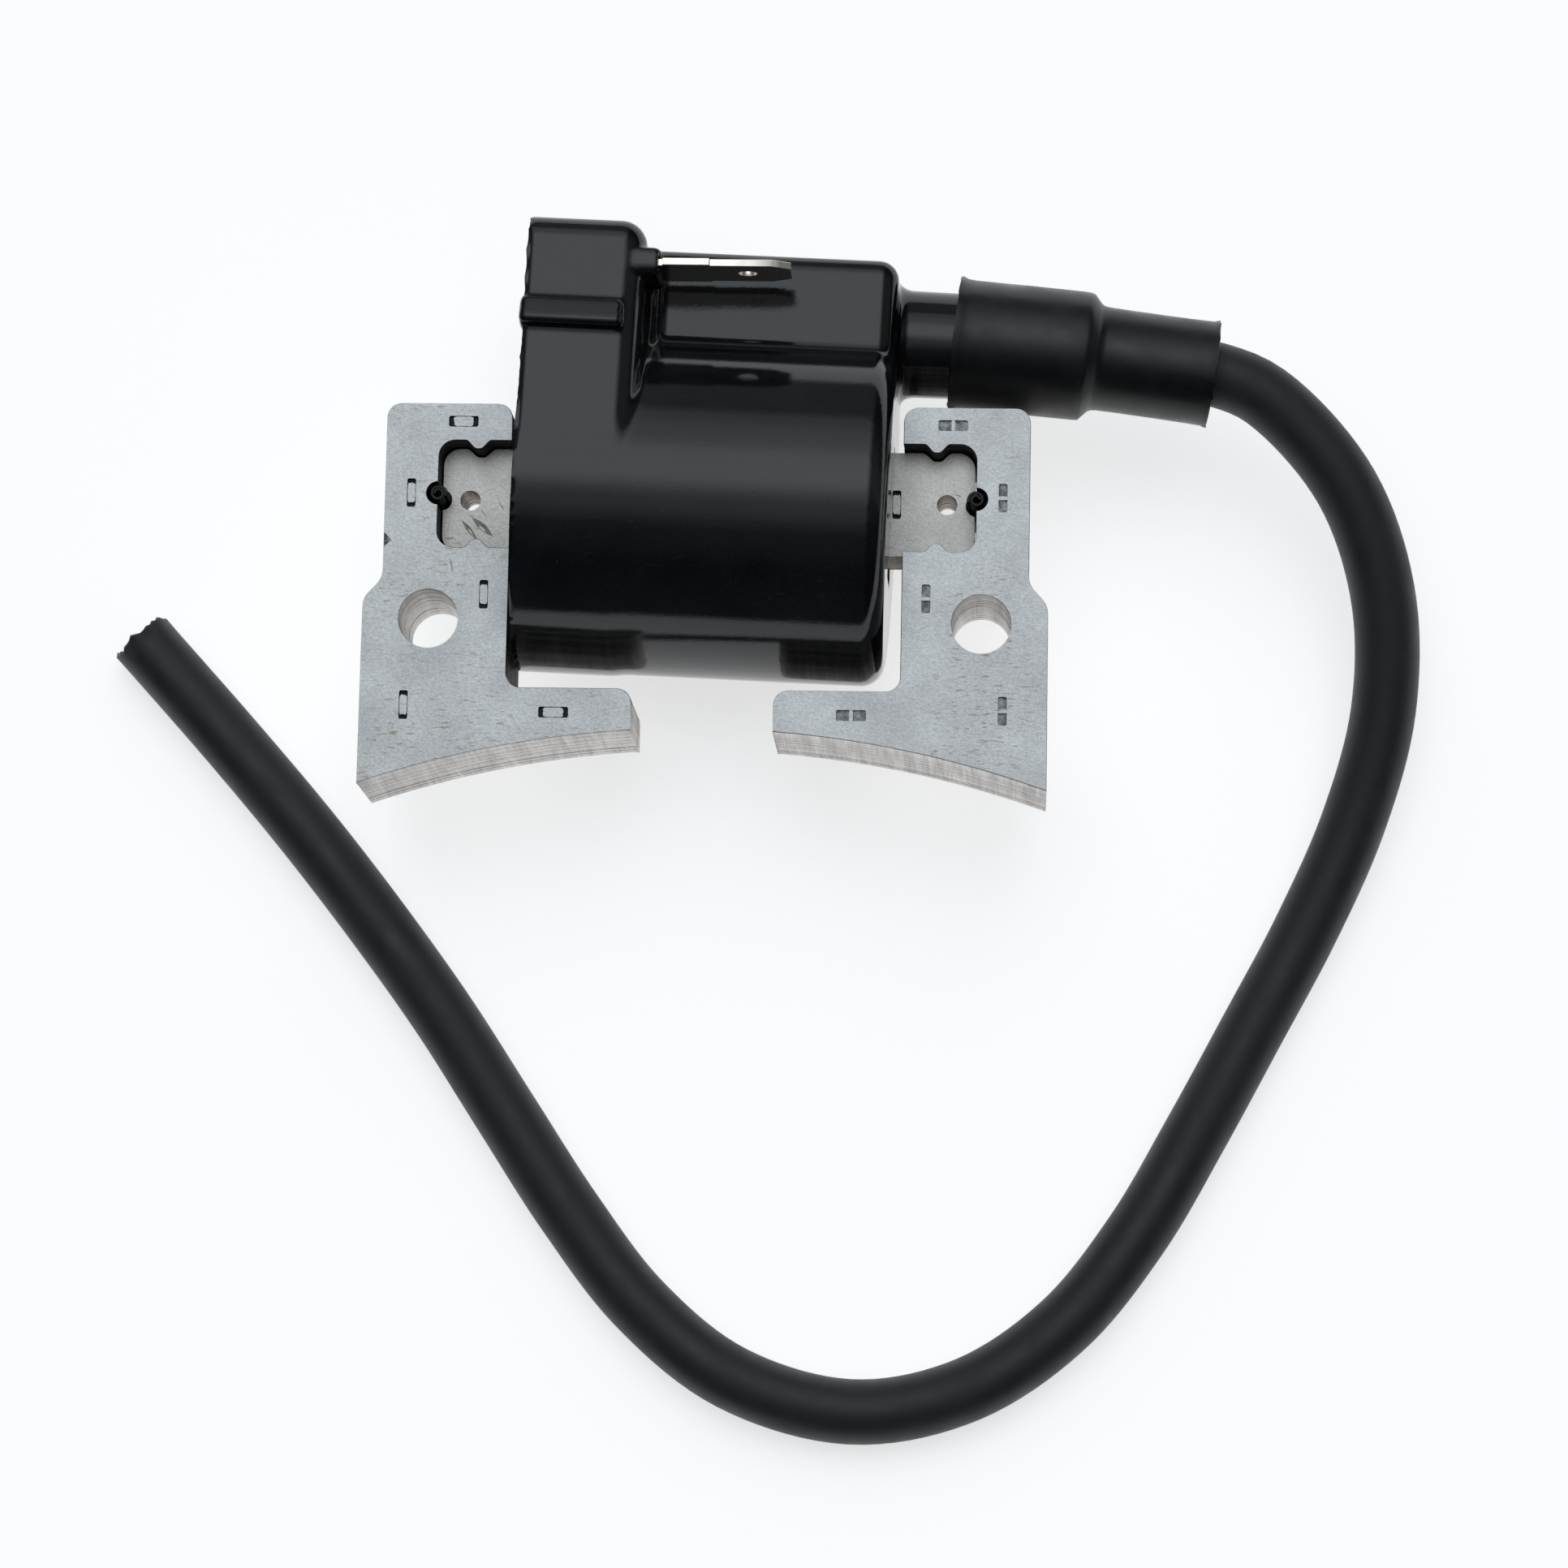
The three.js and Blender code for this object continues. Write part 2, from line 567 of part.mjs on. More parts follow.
// A round rubber sleeve: the wide end grips the tower, the narrow end grips the lead.
function rubberBoot(place) {
  const gap = 0.3;
  const lip = 0.25;
  const reach = BOOT.wideLength + BOOT.shoulder;
  const wide = turned(
    [
      [0, 0],
      [0, BOOT.wideR + lip],
      [0.8, BOOT.wideR],
      [BOOT.wideLength, BOOT.wideR],
      [reach, BOOT.narrowR],
      [reach, 0],
    ],
    24,
    0,
  );
  const narrow = turned(
    [
      [-1, 0],
      [-1, BOOT.narrowR - 0.1],
      [BOOT.narrowLength - 0.8, BOOT.narrowR],
      [BOOT.narrowLength, BOOT.narrowR + lip],
      [BOOT.narrowLength, 0],
    ],
    24,
    0,
  );
  const bent = narrow.rotate([0, BOOT_TILT.down, BOOT_TILT.narrow - BOOT_TILT.wide]).translate([reach, 0, 0]);
  const sleeve = wide.add(bent).rotate([0, 0, BOOT_TILT.wide]).translate([BOOT.startX, BOOT.startY, 0]);
  const towerRoom = rod(TOWER.radius + gap, BOOT.startX - 2, TOWER.endX + gap, "x", TOWER.axisY, 0, 28);
  const leadRoom = solid(leadTube(disc(LEAD.radius + gap)));
  const shape = sleeve.subtract(towerRoom).transform(place.elements).subtract(leadRoom);
  return piece("rubber_boot", shape, RUBBER);
}

function disc(radius) {
  return new THREE.Shape().absarc(0, 0, radius, 0, 2 * Math.PI, false);
}

function leadCurve() {
  const points = LEAD_ROUTE.map(([x, y, z]) => new THREE.Vector3(x, y, z));
  return new THREE.CatmullRomCurve3(points, false, "centripetal");
}

function leadTube(section) {
  return new THREE.ExtrudeGeometry(section, {
    extrudePath: leadCurve(),
    steps: LEAD.steps,
    curveSegments: LEAD.sides / 2, // an arc takes two sides for each
  });
}

// The strands are pushed back from the spike that enters the end of the lead.
function leadPieces(place) {
  const jacket = disc(LEAD.radius);
  jacket.holes.push(new THREE.Path().absarc(0, 0, LEAD.bore, 0, 2 * Math.PI, true));
  const spikeRoom = rod(LEAD.conductor + 0.3, SPIKE.headX, SPIKE.endX + 0.3, "x", TOWER.axisY, 0, 12);
  const strands = solid(leadTube(disc(LEAD.conductor))).subtract(spikeRoom.transform(place.elements));
  return [
    piece("high_tension_lead", solid(leadTube(jacket)), JACKET),
    piece("lead_conductor", strands, COPPER),
  ];
}

// ---- assembly ----

const housing = new THREE.Group();
housing.position.set(0, CORE.midY, 0);
housing.rotation.z = HOUSING_TURN;
housing.add(piece("housing_shell", housingShell(), MOULDING));
housing.add(...coilPieces());
housing.add(...pottingPieces());
housing.add(...circuitPieces());
housing.add(terminalBlade());

const body = new THREE.Group();
body.position.set(0, HOLE_LINE_Y, CORE_MID_Z);
body.add(...poleLegs());
body.add(...coreBar());
body.add(springPin("left"), springPin("right"));
body.add(housing);

const ignitionCoil = new THREE.Group();
ignitionCoil.add(body);
ignitionCoil.updateMatrixWorld(true);
ignitionCoil.add(rubberBoot(housing.matrixWorld));
ignitionCoil.add(...leadPieces(housing.matrixWorld));

export default ignitionCoil;
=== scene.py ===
"""The looks of an ignition coil: camera, lead, legs, core, housing, boot and small metal pieces.

Shapes are worked out in millimetres in the frame of the bolt holes or of the housing, as the design
is, and are written as meshes in metres in the part's own frame.
"""

import itertools
import math

import bmesh
import bpy
import numpy as np
from mathutils import Matrix, Vector
from mathutils.geometry import tessellate_polygon


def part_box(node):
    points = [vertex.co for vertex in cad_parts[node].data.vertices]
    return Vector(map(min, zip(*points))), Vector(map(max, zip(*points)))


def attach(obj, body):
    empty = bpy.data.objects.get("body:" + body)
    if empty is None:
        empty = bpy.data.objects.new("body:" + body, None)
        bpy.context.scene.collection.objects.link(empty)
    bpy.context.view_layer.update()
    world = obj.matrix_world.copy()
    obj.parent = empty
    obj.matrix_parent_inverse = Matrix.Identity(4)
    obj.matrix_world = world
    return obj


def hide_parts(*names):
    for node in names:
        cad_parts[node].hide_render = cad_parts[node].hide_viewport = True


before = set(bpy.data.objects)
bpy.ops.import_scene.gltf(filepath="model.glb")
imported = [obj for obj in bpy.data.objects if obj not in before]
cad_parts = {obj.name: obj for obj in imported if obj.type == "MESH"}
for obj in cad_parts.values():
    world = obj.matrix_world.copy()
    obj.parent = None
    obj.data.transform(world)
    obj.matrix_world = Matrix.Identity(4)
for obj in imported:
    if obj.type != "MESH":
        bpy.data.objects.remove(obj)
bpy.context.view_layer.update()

MM = 0.001
ROOT = "root"

# ---- driving dimensions, in millimetres ----

HOLE_LINE_Y = -11.7
CORE_MID_Y = 13.85
FRONT_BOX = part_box("right_leg_front_lamination")
BACK_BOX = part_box("right_leg_back_lamination")
CORE_BOX = (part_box("core_back_lamination"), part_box("core_front_lamination"))
LEG_FRONT_Z = FRONT_BOX[1][2] / MM
LEG_BACK_Z = BACK_BOX[0][2] / MM
MID_Z = (LEG_FRONT_Z + LEG_BACK_Z) / 2
CORE_FRONT_Z = CORE_BOX[1][1][2] / MM
CORE_BACK_Z = CORE_BOX[0][0][2] / MM
HOUSING_TURN = math.radians(-2.2)
LAMINATION = 0.5

# ---- camera ----

CAMERA_PLACE = Vector((0.0343, -0.1191, 0.5859))
CAMERA_AIM = Vector((0.0087, -0.0283, 0.0186))
CAMERA_UP = Vector((-0.0120, 0.9873, 0.1586))
LENS_MM = 121.1
SENSOR_MM = 36.0


def make_camera():
    data = bpy.data.cameras.new("camera")
    data.lens = LENS_MM
    data.sensor_width = SENSOR_MM
    data.clip_start = 0.01
    data.clip_end = 20.0
    camera = bpy.data.objects.new("camera", data)
    bpy.context.scene.collection.objects.link(camera)
    back = (CAMERA_PLACE - CAMERA_AIM).normalized()
    right = CAMERA_UP.cross(back).normalized()
    up = back.cross(right)
    turn = Matrix((right, up, back)).transposed().to_4x4()
    camera.matrix_world = Matrix.Translation(CAMERA_PLACE) @ turn
    bpy.context.scene.camera = camera


# ---- making meshes ----


def make_object(name, vertices, faces, materials, slots=None, smooth=None):
    """vertices in millimetres in the part's frame; slots is a material index for each face."""
    mesh = bpy.data.meshes.new(name)
    mesh.from_pydata([tuple(float(c) * MM for c in v) for v in vertices], [], faces)
    for material in materials:
        mesh.materials.append(material)
    if slots is not None:
        mesh.polygons.foreach_set("material_index", slots)
    mesh.validate()
    mesh.update()
    item = bpy.data.objects.new(name, mesh)
    bpy.context.scene.collection.objects.link(item)
    if smooth is not None:
        smooth_by_angle(item, smooth)
    return item


def smooth_by_angle(item, degrees):
    """Smooth shading with creases where two faces meet at more than the angle."""
    work = bmesh.new()
    work.from_mesh(item.data)
    limit = math.radians(degrees)
    for face in work.faces:
        face.smooth = True
    for edge in work.edges:
        edge.smooth = edge.is_manifold and edge.calc_face_angle(0.0) <= limit
    work.to_mesh(item.data)
    work.free()


def place(item, slot, *nodes):
    """The piece rides on the part's one body and stands for the CAD nodes."""
    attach(item, ROOT)
    if nodes:
        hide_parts(*nodes)
    return item


HOUSING_FRAME = Matrix.Translation((0.0, HOLE_LINE_Y + CORE_MID_Y, MID_Z)) @ Matrix.Rotation(
    HOUSING_TURN, 4, "Z"
)


def from_housing(points):
    return [tuple(HOUSING_FRAME @ Vector(p)) for p in points]


# ---- outlines ----


def arc(x, y, radius, start, end, count, squash=1.0):
    """Points on an arc from start to end, in degrees, both ends included."""
    angles = np.radians(np.linspace(start, end, count + 1))
    return [(x + radius * math.cos(a), y + squash * radius * math.sin(a)) for a in angles]


def rounded_outline(outline, repeat=1e-4):
    """The outline without a point that repeats the one before."""
    kept = []
    for point in outline:
        if not kept or math.dist(point, kept[-1]) > repeat:
            kept.append(point)
    if math.dist(kept[0], kept[-1]) < repeat:
        kept.pop()
    return kept


def bezier(a, b, c, d, count):
    points = []
    for t in np.linspace(0, 1, count + 1):
        s = 1 - t
        weights = (s * s * s, 3 * s * s * t, 3 * s * t * t, t * t * t)
        points.append(tuple(sum(w * p[i] for w, p in zip(weights, (a, b, c, d))) for i in (0, 1)))
    return points


LEG = {
    "shoulder_x": 35.1,
    "outer_x": 37.2,
    "inner_x": 21.35,
    "top_y": 23.9,
    "shoulder_y": 5.4,
    "bulge_y": 1.2,
    "foot_y": -18.3,
    "shoe_top_y": -7.5,
    "tip_x": 7.68,
    "tip_y": -12.2,
    "corner": 1.6,
}
FLYWHEEL_R, FLYWHEEL_Y = 112.0, -123.8
BOLT_X, BOLT_R = 30.0, 3.25
POCKET = {"outer_x": 29.3, "low": 7.9, "high": 19.8, "bump_x": 25.0, "bump": 1.45, "depth": 0.95, "r": 1.8}
BUMP_STEPS = [k / 12 for k in range(-12, 13)]
BUMP_FLAT = 0.12  # of the half width, before the sides begin to fall
PIN_NOTCH_R = 1.25
PIN_Y = {"left": 13.9, "right": 13.75}
DIMPLES = [(26.7, 21.9, 0), (32.2, 13.9, 90), (24.0, 2.7, 90), (32.4, -9.55, 90), (16.1, -10.2, 0)]


def pocket_edge(fit, notch):
    """From the open side at the top, round the pocket, to the open side at the bottom."""
    low, high = POCKET["low"] + fit, POCKET["high"] - fit
    outer, r = POCKET["outer_x"] - fit, POCKET["r"]
    half = POCKET["bump"] + fit
    rise = []
    for t in BUMP_STEPS:
        slope = max(0.0, abs(t) - BUMP_FLAT) / (1 - BUMP_FLAT)
        rise.append((t, POCKET["depth"] * (1 + math.cos(math.pi * slope)) / 2))
    points = [(POCKET["bump_x"] + half * t, high - lift) for t, lift in rise]
    points += arc(outer - r, high - r, r, 90, 0, 8)
    points += notch
    points += arc(outer - r, low + r, r, 0, -90, 8)
    points += [(POCKET["bump_x"] - half * t, low + lift) for t, lift in rise]
    return points


def leg_outline(pin_y):
    """The right leg's lamination, counter-clockwise."""
    r, inner, top = LEG["corner"], LEG["inner_x"], LEG["top_y"]
    foot = math.degrees(math.atan2(LEG["foot_y"] - FLYWHEEL_Y, LEG["outer_x"]))
    tip = math.degrees(math.atan2(LEG["tip_y"] - FLYWHEEL_Y, LEG["tip_x"]))
    pull = (LEG["shoulder_y"] - LEG["bulge_y"]) / 2
    points = arc(0, FLYWHEEL_Y, FLYWHEEL_R, tip, foot, 40)
    points += bezier(
        (LEG["outer_x"], LEG["bulge_y"]),
        (LEG["outer_x"], LEG["bulge_y"] + pull),
        (LEG["shoulder_x"], LEG["shoulder_y"] - pull),
        (LEG["shoulder_x"], LEG["shoulder_y"]),
        10,
    )
    points += arc(LEG["shoulder_x"] - r, top - r, r, 0, 90, 8)
    points += arc(inner + r, top - r, r, 90, 180, 8)
    points += [(inner, POCKET["high"])]
    points += pocket_edge(0, arc(POCKET["outer_x"], pin_y, PIN_NOTCH_R, 90, -90, 12))
    points += [(inner, POCKET["low"])]
    points += arc(inner - r, LEG["shoe_top_y"] + r, r, 0, -90, 8)
    points += arc(LEG["tip_x"] + r, LEG["shoe_top_y"] - r, r, 90, 180, 8)
    points += [(LEG["tip_x"], LEG["tip_y"])]
    return rounded_outline(points)


def core_outline(fit=0.25):
    """The core bar's lamination, counter-clockwise, with both shaped ends."""
    right = pocket_edge(fit, arc(POCKET["outer_x"], PIN_Y["right"], PIN_NOTCH_R, 101.5, 258.5, 10))
    left = pocket_edge(fit, arc(POCKET["outer_x"], PIN_Y["left"], PIN_NOTCH_R, 101.5, 258.5, 10))
    left = [(-x, y) for x, y in reversed(left)]
    return rounded_outline(list(reversed(right + left)))


def interlock(x, y, turn, kind="deep"):
    """A punched interlock: deep ones have near-black painted shade round a long tongue, shallow ones a
    mottled grey painted shade beside a cross-bar.
    """
    half_long, half_wide, r = (1.62, 0.60, 0.22) if turn == 0 else (1.58, 0.48, 0.22)
    # cut is the slot of the pit's walls and floor: 2 is the near-black painted shade, 3 the mottled painted
    # shade
    if kind == "deep":
        long, wide, depth, cut, ragged = 1.06, half_wide - 0.06, 0.42, 2, 0.035
    else:
        long, wide, depth, cut, ragged = 0.20, half_wide, 0.30, 3, 0.012
    rim, tongue = [], []
    for sx, sy, start in ((1, 1, 0), (-1, 1, 90), (-1, -1, 180), (1, -1, 270)):
        rim += arc(sx * (half_long - r), sy * (half_wide - r), r, start, start + 90, 4)
    rng = np.random.default_rng(round(1000 + 10 * x + y))
    corners = [(long, wide), (-long, wide), (-long, -wide), (long, -wide)]
    for (ax, ay), (bx, by) in zip(corners, corners[1:] + corners[:1]):
        for t in np.linspace(0, 1, 8)[:-1]:
            u, v = ax + (bx - ax) * t, ay + (by - ay) * t
            pull = 1 - 0.10 * (abs(u) > 0.85 * long and abs(v) > 0.85 * wide)
            tongue.append((u * pull + rng.normal(0, ragged), v * pull * (1 - abs(rng.normal(0, ragged)))))
    c, s = math.cos(math.radians(turn)), math.sin(math.radians(turn))
    rim, tongue = (
        [(x + c * u - s * v, y + s * u + c * v) for u, v in points]
        for points in (rim, rounded_outline(tongue))
    )
    return {"rim": rim, "depth": depth, "tongue": tongue, "step": 0.05, "cut": cut}


def gouge(points, depth, lean):
    """A shallow dent with this rim, deepest towards one side of it."""
    middle = np.mean(points, axis=0) + np.array(lean)
    core = [tuple(middle + (np.array(q) - middle) * 0.35) for q in points]
    return {"rim": points, "depth": depth, "core": core, "cut": 0}


def leaf(x, y, length, width, turn, count=6):
    """A pointed leaf outline, counter-clockwise."""
    c, s = math.cos(math.radians(turn)), math.sin(math.radians(turn))
    shape = [(t, -math.sin(math.pi * (t + 0.5)) / 2) for t in np.linspace(-0.5, 0.5, count + 1)]
    shape += [(t, math.sin(math.pi * (t + 0.5)) / 2) for t in np.linspace(0.5, -0.5, count + 1)[1:-1]]
    return [(x + length * c * t - width * s * v, y + length * s * t + width * c * v) for t, v in shape]


def stacked(name, outline, holes, dents, low, high, materials, slot, nodes, dark, mirror=False, seed=1):
    """A stack of laminations: one closed body whose sides show each sheet's rolled edge.

    The materials are face, sheared edge, near-black painted shade and mottled painted shade; dark says
    where the outline's sides get the painted shade.
    """
    rng = np.random.default_rng(seed)
    count = max(1, round((high - low) / LAMINATION))
    pitch = (high - low) / count
    groove, round_off, jitter = 0.035, 0.06, 0.012
    loops = [np.array(outline)] + [np.array(h)[::-1] for h in holes]
    normals = [loop_normals(loop) for loop in loops]
    vertices, faces, slots = [], [], []
    rings = []
    for k in range(count):
        shift = rng.normal(0, jitter, 2)
        base = low + k * pitch
        first, last = k == 0, k == count - 1
        rings.append((base, 0 if first else -groove, shift * 0 if first else shift))
        if first:
            rings[-1] = (base, -round_off, shift * 0)
        rings.append((base + round_off, 0.0, shift))
        rings.append((base + pitch - round_off, 0.0, shift))
        if last:
            rings.append((base + pitch, -round_off, shift * 0))
    starts = []
    for height, inset, shift in rings:
        row = []
        for loop, normal in zip(loops, normals):
            row.append(len(vertices))
            moved = loop + normal * inset * (1.0 if loop is loops[0] else 0.3) + shift
            vertices += [(x, y, height) for x, y in moved]
        starts.append(row)
    for lower, upper in zip(starts, starts[1:]):
        for a, b, loop in zip(lower, upper, loops):
            n = len(loop)
            for i in range(n):
                j = (i + 1) % n
                faces.append((a + i, a + j, b + j, b + i))
                # outline sides where dark() holds get slot 2, the near-black painted shade; the rest get
                # the sheared edge
                slots.append(2 if loop is loops[0] and dark(*((loop[i] + loop[j]) / 2)) else 1)
    for side, row in ((1, starts[-1]), (-1, starts[0])):
        cap(vertices, faces, slots, loops, row, dents, side)
    sign = -1 if mirror else 1
    points = [(sign * x, y + HOLE_LINE_Y, z) for x, y, z in vertices]
    if mirror:
        faces = [tuple(reversed(f)) for f in faces]
    item = make_object(name, points, faces, materials, slots, smooth=32)
    return place(item, slot, *nodes)


def loop_normals(loop):
    """Outward unit normals of a closed loop that has its solid on the left."""
    ahead = np.roll(loop, -1, axis=0) - loop
    ahead /= np.linalg.norm(ahead, axis=1)[:, None]
    behind = np.roll(ahead, 1, axis=0)
    edge = ahead + behind
    edge /= np.maximum(np.linalg.norm(edge, axis=1), 1e-9)[:, None]
    bend = np.maximum((edge * ahead).sum(axis=1), 0.5)[:, None]
    return np.stack([edge[:, 1], -edge[:, 0]], axis=1) / bend


def cap(vertices, faces, slots, loops, row, dents, side):
    """Closes the stack at one end, with the dents sunk in it."""
    height = vertices[row[0]][2]
    polygons, numbers = [], []

    def add_loop(points, z):
        start = len(vertices)
        vertices.extend((px, py, z) for px, py in points)
        return list(range(start, start + len(points)))

    def add_face(indices, slot, outward=1):
        faces.append(tuple(indices) if side * outward > 0 else tuple(reversed(indices)))
        slots.append(slot)

    def add_wall(upper, lower, slot):
        n = len(upper)
        for i in range(n):
            j = (i + 1) % n
            add_face((upper[j], upper[i], lower[i], lower[j]), slot)

    for start, loop in zip(row, loops):
        indices = list(range(start, start + len(loop)))
        polygons.append([Vector(vertices[i]) for i in indices])
        numbers += indices
    for dent in dents:
        top = add_loop(dent["rim"], height)
        polygons.append([Vector(vertices[i]) for i in top])
        numbers += top
        floor = add_loop(dent.get("core", dent["rim"]), height - side * dent["depth"])
        add_wall(top, floor, dent["cut"])
        add_face(floor, dent["cut"])
        if "tongue" in dent:
            crown = add_loop(dent["tongue"], height - side * dent["step"])
            foot = add_loop(dent["tongue"], height - side * dent["depth"])
            add_wall(foot, crown, 0)
            add_face(crown, 0)
    for a, b, c in tessellate_polygon(polygons):
        triangle = [numbers[a], numbers[b], numbers[c]]
        pa, pb, pc = (vertices[i] for i in triangle)
        area = (pb[0] - pa[0]) * (pc[1] - pa[1]) - (pb[1] - pa[1]) * (pc[0] - pa[0])
        if area < 0:
            triangle.reverse()
        add_face(triangle, 0)


# ---- tubes along a line ----


def smooth_line(points, spacing):
    """A centripetal Catmull-Rom curve through the points, as evenly spaced points."""
    p = [np.array(q, float) for q in points]
    p = [2 * p[0] - p[1]] + p + [2 * p[-1] - p[-2]]
    fine = []
    for a, b, c, d in zip(p, p[1:], p[2:], p[3:]):
        t = [0.0]
        for u, v in ((a, b), (b, c), (c, d)):
            t.append(t[-1] + math.sqrt(np.linalg.norm(v - u)))
        for s in np.linspace(t[1], t[2], 41)[:-1]:
            ab = (t[1] - s) / (t[1] - t[0]) * a + (s - t[0]) / (t[1] - t[0]) * b
            bc = (t[2] - s) / (t[2] - t[1]) * b + (s - t[1]) / (t[2] - t[1]) * c
            cd = (t[3] - s) / (t[3] - t[2]) * c + (s - t[2]) / (t[3] - t[2]) * d
            abc = (t[2] - s) / (t[2] - t[0]) * ab + (s - t[0]) / (t[2] - t[0]) * bc
            bcd = (t[3] - s) / (t[3] - t[1]) * bc + (s - t[1]) / (t[3] - t[1]) * cd
            fine.append((t[2] - s) / (t[2] - t[1]) * abc + (s - t[1]) / (t[2] - t[1]) * bcd)
    fine.append(p[-2])
    fine = np.array(fine)
    along = np.concatenate([[0], np.cumsum(np.linalg.norm(np.diff(fine, axis=0), axis=1))])
    count = max(2, round(along[-1] / spacing))
    wanted = np.linspace(0, along[-1], count + 1)
    return np.stack([np.interp(wanted, along, fine[:, i]) for i in range(3)], axis=1), along[-1]


def line_frames(line):
    """A tangent and two normals at each point, carried along without twist."""
    tangents = np.gradient(line, axis=0)
    tangents /= np.linalg.norm(tangents, axis=1)[:, None]
    side = np.cross(tangents[0], (0, 0, 1.0))
    side /= np.linalg.norm(side)
    sides = []
    for tangent in tangents:
        side = side - tangent * side.dot(tangent)
        side /= np.linalg.norm(side)
        sides.append(side.copy())
    sides = np.array(sides)
    return tangents, sides, np.cross(tangents, sides)


def skin(rings, closed_ends=True, loop=False):
    """Quads between rings of equal size, with flat ends or joined end to start."""
    n, m = len(rings), len(rings[0])
    vertices = [tuple(v) for ring in rings for v in ring]
    faces = []
    for k in range(n if loop else n - 1):
        a, b = k * m, ((k + 1) % n) * m
        faces += [(a + i, a + (i + 1) % m, b + (i + 1) % m, b + i) for i in range(m)]
    if closed_ends and not loop:
        faces.append(tuple(reversed(range(m))))
        faces.append(tuple(range((n - 1) * m, n * m)))
    return vertices, faces


def sweep(line, radii, sides, wobble=None):
    """Rings round the line; wobble(k, angle) adds to a ring's radius."""
    tangents, across, upward = line_frames(line)
    angles = np.linspace(0, 2 * math.pi, sides, endpoint=False)
    rings = []
    for k, centre in enumerate(line):
        r = radii[k] + (wobble(k, angles) if wobble else 0)
        spokes = np.cos(angles)[:, None] * across[k] + np.sin(angles)[:, None] * upward[k]
        rings.append(centre + spokes * np.broadcast_to(r, angles.shape)[:, None])
    return rings


# ---- materials ----


class Nodes:
    """A short way to write a shader: each call adds one node and returns it."""

    def __init__(self, name):
        self.material = bpy.data.materials.new(name)
        self.material.use_nodes = True
        self.tree = self.material.node_tree
        self.shader = self.tree.nodes["Principled BSDF"]
        self.coordinates = self.tree.nodes.new("ShaderNodeTexCoord")

    def link(self, source, target):
        self.tree.links.new(source, target)

    def scaled(self, x, y, z, turn=0.0):
        node = self.tree.nodes.new("ShaderNodeMapping")
        node.inputs["Scale"].default_value = (x, y, z)
        node.inputs["Rotation"].default_value = (0, 0, turn)
        self.link(self.coordinates.outputs["Object"], node.inputs["Vector"])
        return node.outputs["Vector"]

    def noise(self, scale, detail=4.0, roughness=0.55, vector=None, distortion=0.0):
        node = self.tree.nodes.new("ShaderNodeTexNoise")
        node.inputs["Scale"].default_value = scale
        node.inputs["Detail"].default_value = detail
        node.inputs["Roughness"].default_value = roughness
        node.inputs["Distortion"].default_value = distortion
        self.link(vector or self.coordinates.outputs["Object"], node.inputs["Vector"])
        return node.outputs["Fac"]

    def cells(self, scale, vector=None, feature="F1"):
        node = self.tree.nodes.new("ShaderNodeTexVoronoi")
        node.feature = feature
        node.inputs["Scale"].default_value = scale
        self.link(vector or self.coordinates.outputs["Object"], node.inputs["Vector"])
        return node.outputs["Distance"]

    def spread(self, value, low, high, to_low=0.0, to_high=1.0):
        node = self.tree.nodes.new("ShaderNodeMapRange")
        for socket, number in zip(range(1, 5), (low, high, to_low, to_high)):
            node.inputs[socket].default_value = number
        self.link(value, node.inputs[0])
        return node.outputs[0]

    def mix(self, factor, dark, light):
        node = self.tree.nodes.new("ShaderNodeMix")
        node.data_type = "RGBA"
        self.link(factor, node.inputs[0])
        for socket, colour in ((6, dark), (7, light)):
            if isinstance(colour, tuple):
                node.inputs[socket].default_value = (*colour, 1.0)
            else:
                self.link(colour, node.inputs[socket])
        return node.outputs[2]

    def maths(self, operation, a, b):
        node = self.tree.nodes.new("ShaderNodeMath")
        node.operation = operation
        for socket, value in ((0, a), (1, b)):
            if isinstance(value, (int, float)):
                node.inputs[socket].default_value = value
            else:
                self.link(value, node.inputs[socket])
        return node.outputs[0]

    def bump(self, height, strength, distance, before=None):
        node = self.tree.nodes.new("ShaderNodeBump")
        node.inputs["Strength"].default_value = strength
        node.inputs["Distance"].default_value = distance
        self.link(height, node.inputs["Height"])
        if before is not None:
            self.link(before, node.inputs["Normal"])
        return node.outputs["Normal"]

    def finish(self, colour, roughness, normal=None, **fixed):
        for socket, value in (("Base Color", colour), ("Roughness", roughness), ("Normal", normal)):
            if value is None:
                continue
            if isinstance(value, tuple):
                self.shader.inputs[socket].default_value = (*value, 1.0)
            elif isinstance(value, (int, float)):
                self.shader.inputs[socket].default_value = value
            else:
                self.link(value, self.shader.inputs[socket])
        for socket, value in fixed.items():
            self.shader.inputs[socket.replace("_", " ")].default_value = value
        return self.material


def steel_face(name, dark, light, stain, stain_amount, across=4600, along=3300, turn=0.0):
    """A rolled sheet: short fine grain, a faint cloudy tone, a few tan specks in level streaks."""
    n = Nodes(name)
    grain = n.noise(1.0, 3, 0.6, n.scaled(along, across, along, turn))
    fleck = n.noise(4300, 3, 0.65)
    cloud = n.noise(170, 3, 0.5)
    mixed = n.maths("ADD", n.maths("MULTIPLY", grain, 0.60), n.maths("MULTIPLY", fleck, 0.22))
    mixed = n.maths("ADD", mixed, n.maths("MULTIPLY", cloud, 0.18))
    base = n.mix(n.spread(mixed, 0.34, 0.66), dark, light)
    streak = n.spread(n.noise(1.0, 3, 0.6, n.scaled(900, 3600, 900)), 0.57, 0.68, 0.0, 1.0)
    region = n.spread(n.noise(60, 2, 0.5), 0.43, 0.58, 0.0, stain_amount)
    colour = n.mix(n.maths("MULTIPLY", streak, region), base, stain)
    rough = n.spread(cloud, 0.3, 0.7, 0.40, 0.52)
    normal = n.bump(fleck, 0.35, 0.00004)
    normal = n.bump(grain, 0.45, 0.00006, normal)
    return n.finish(colour, rough, normal, Metallic=0.80)


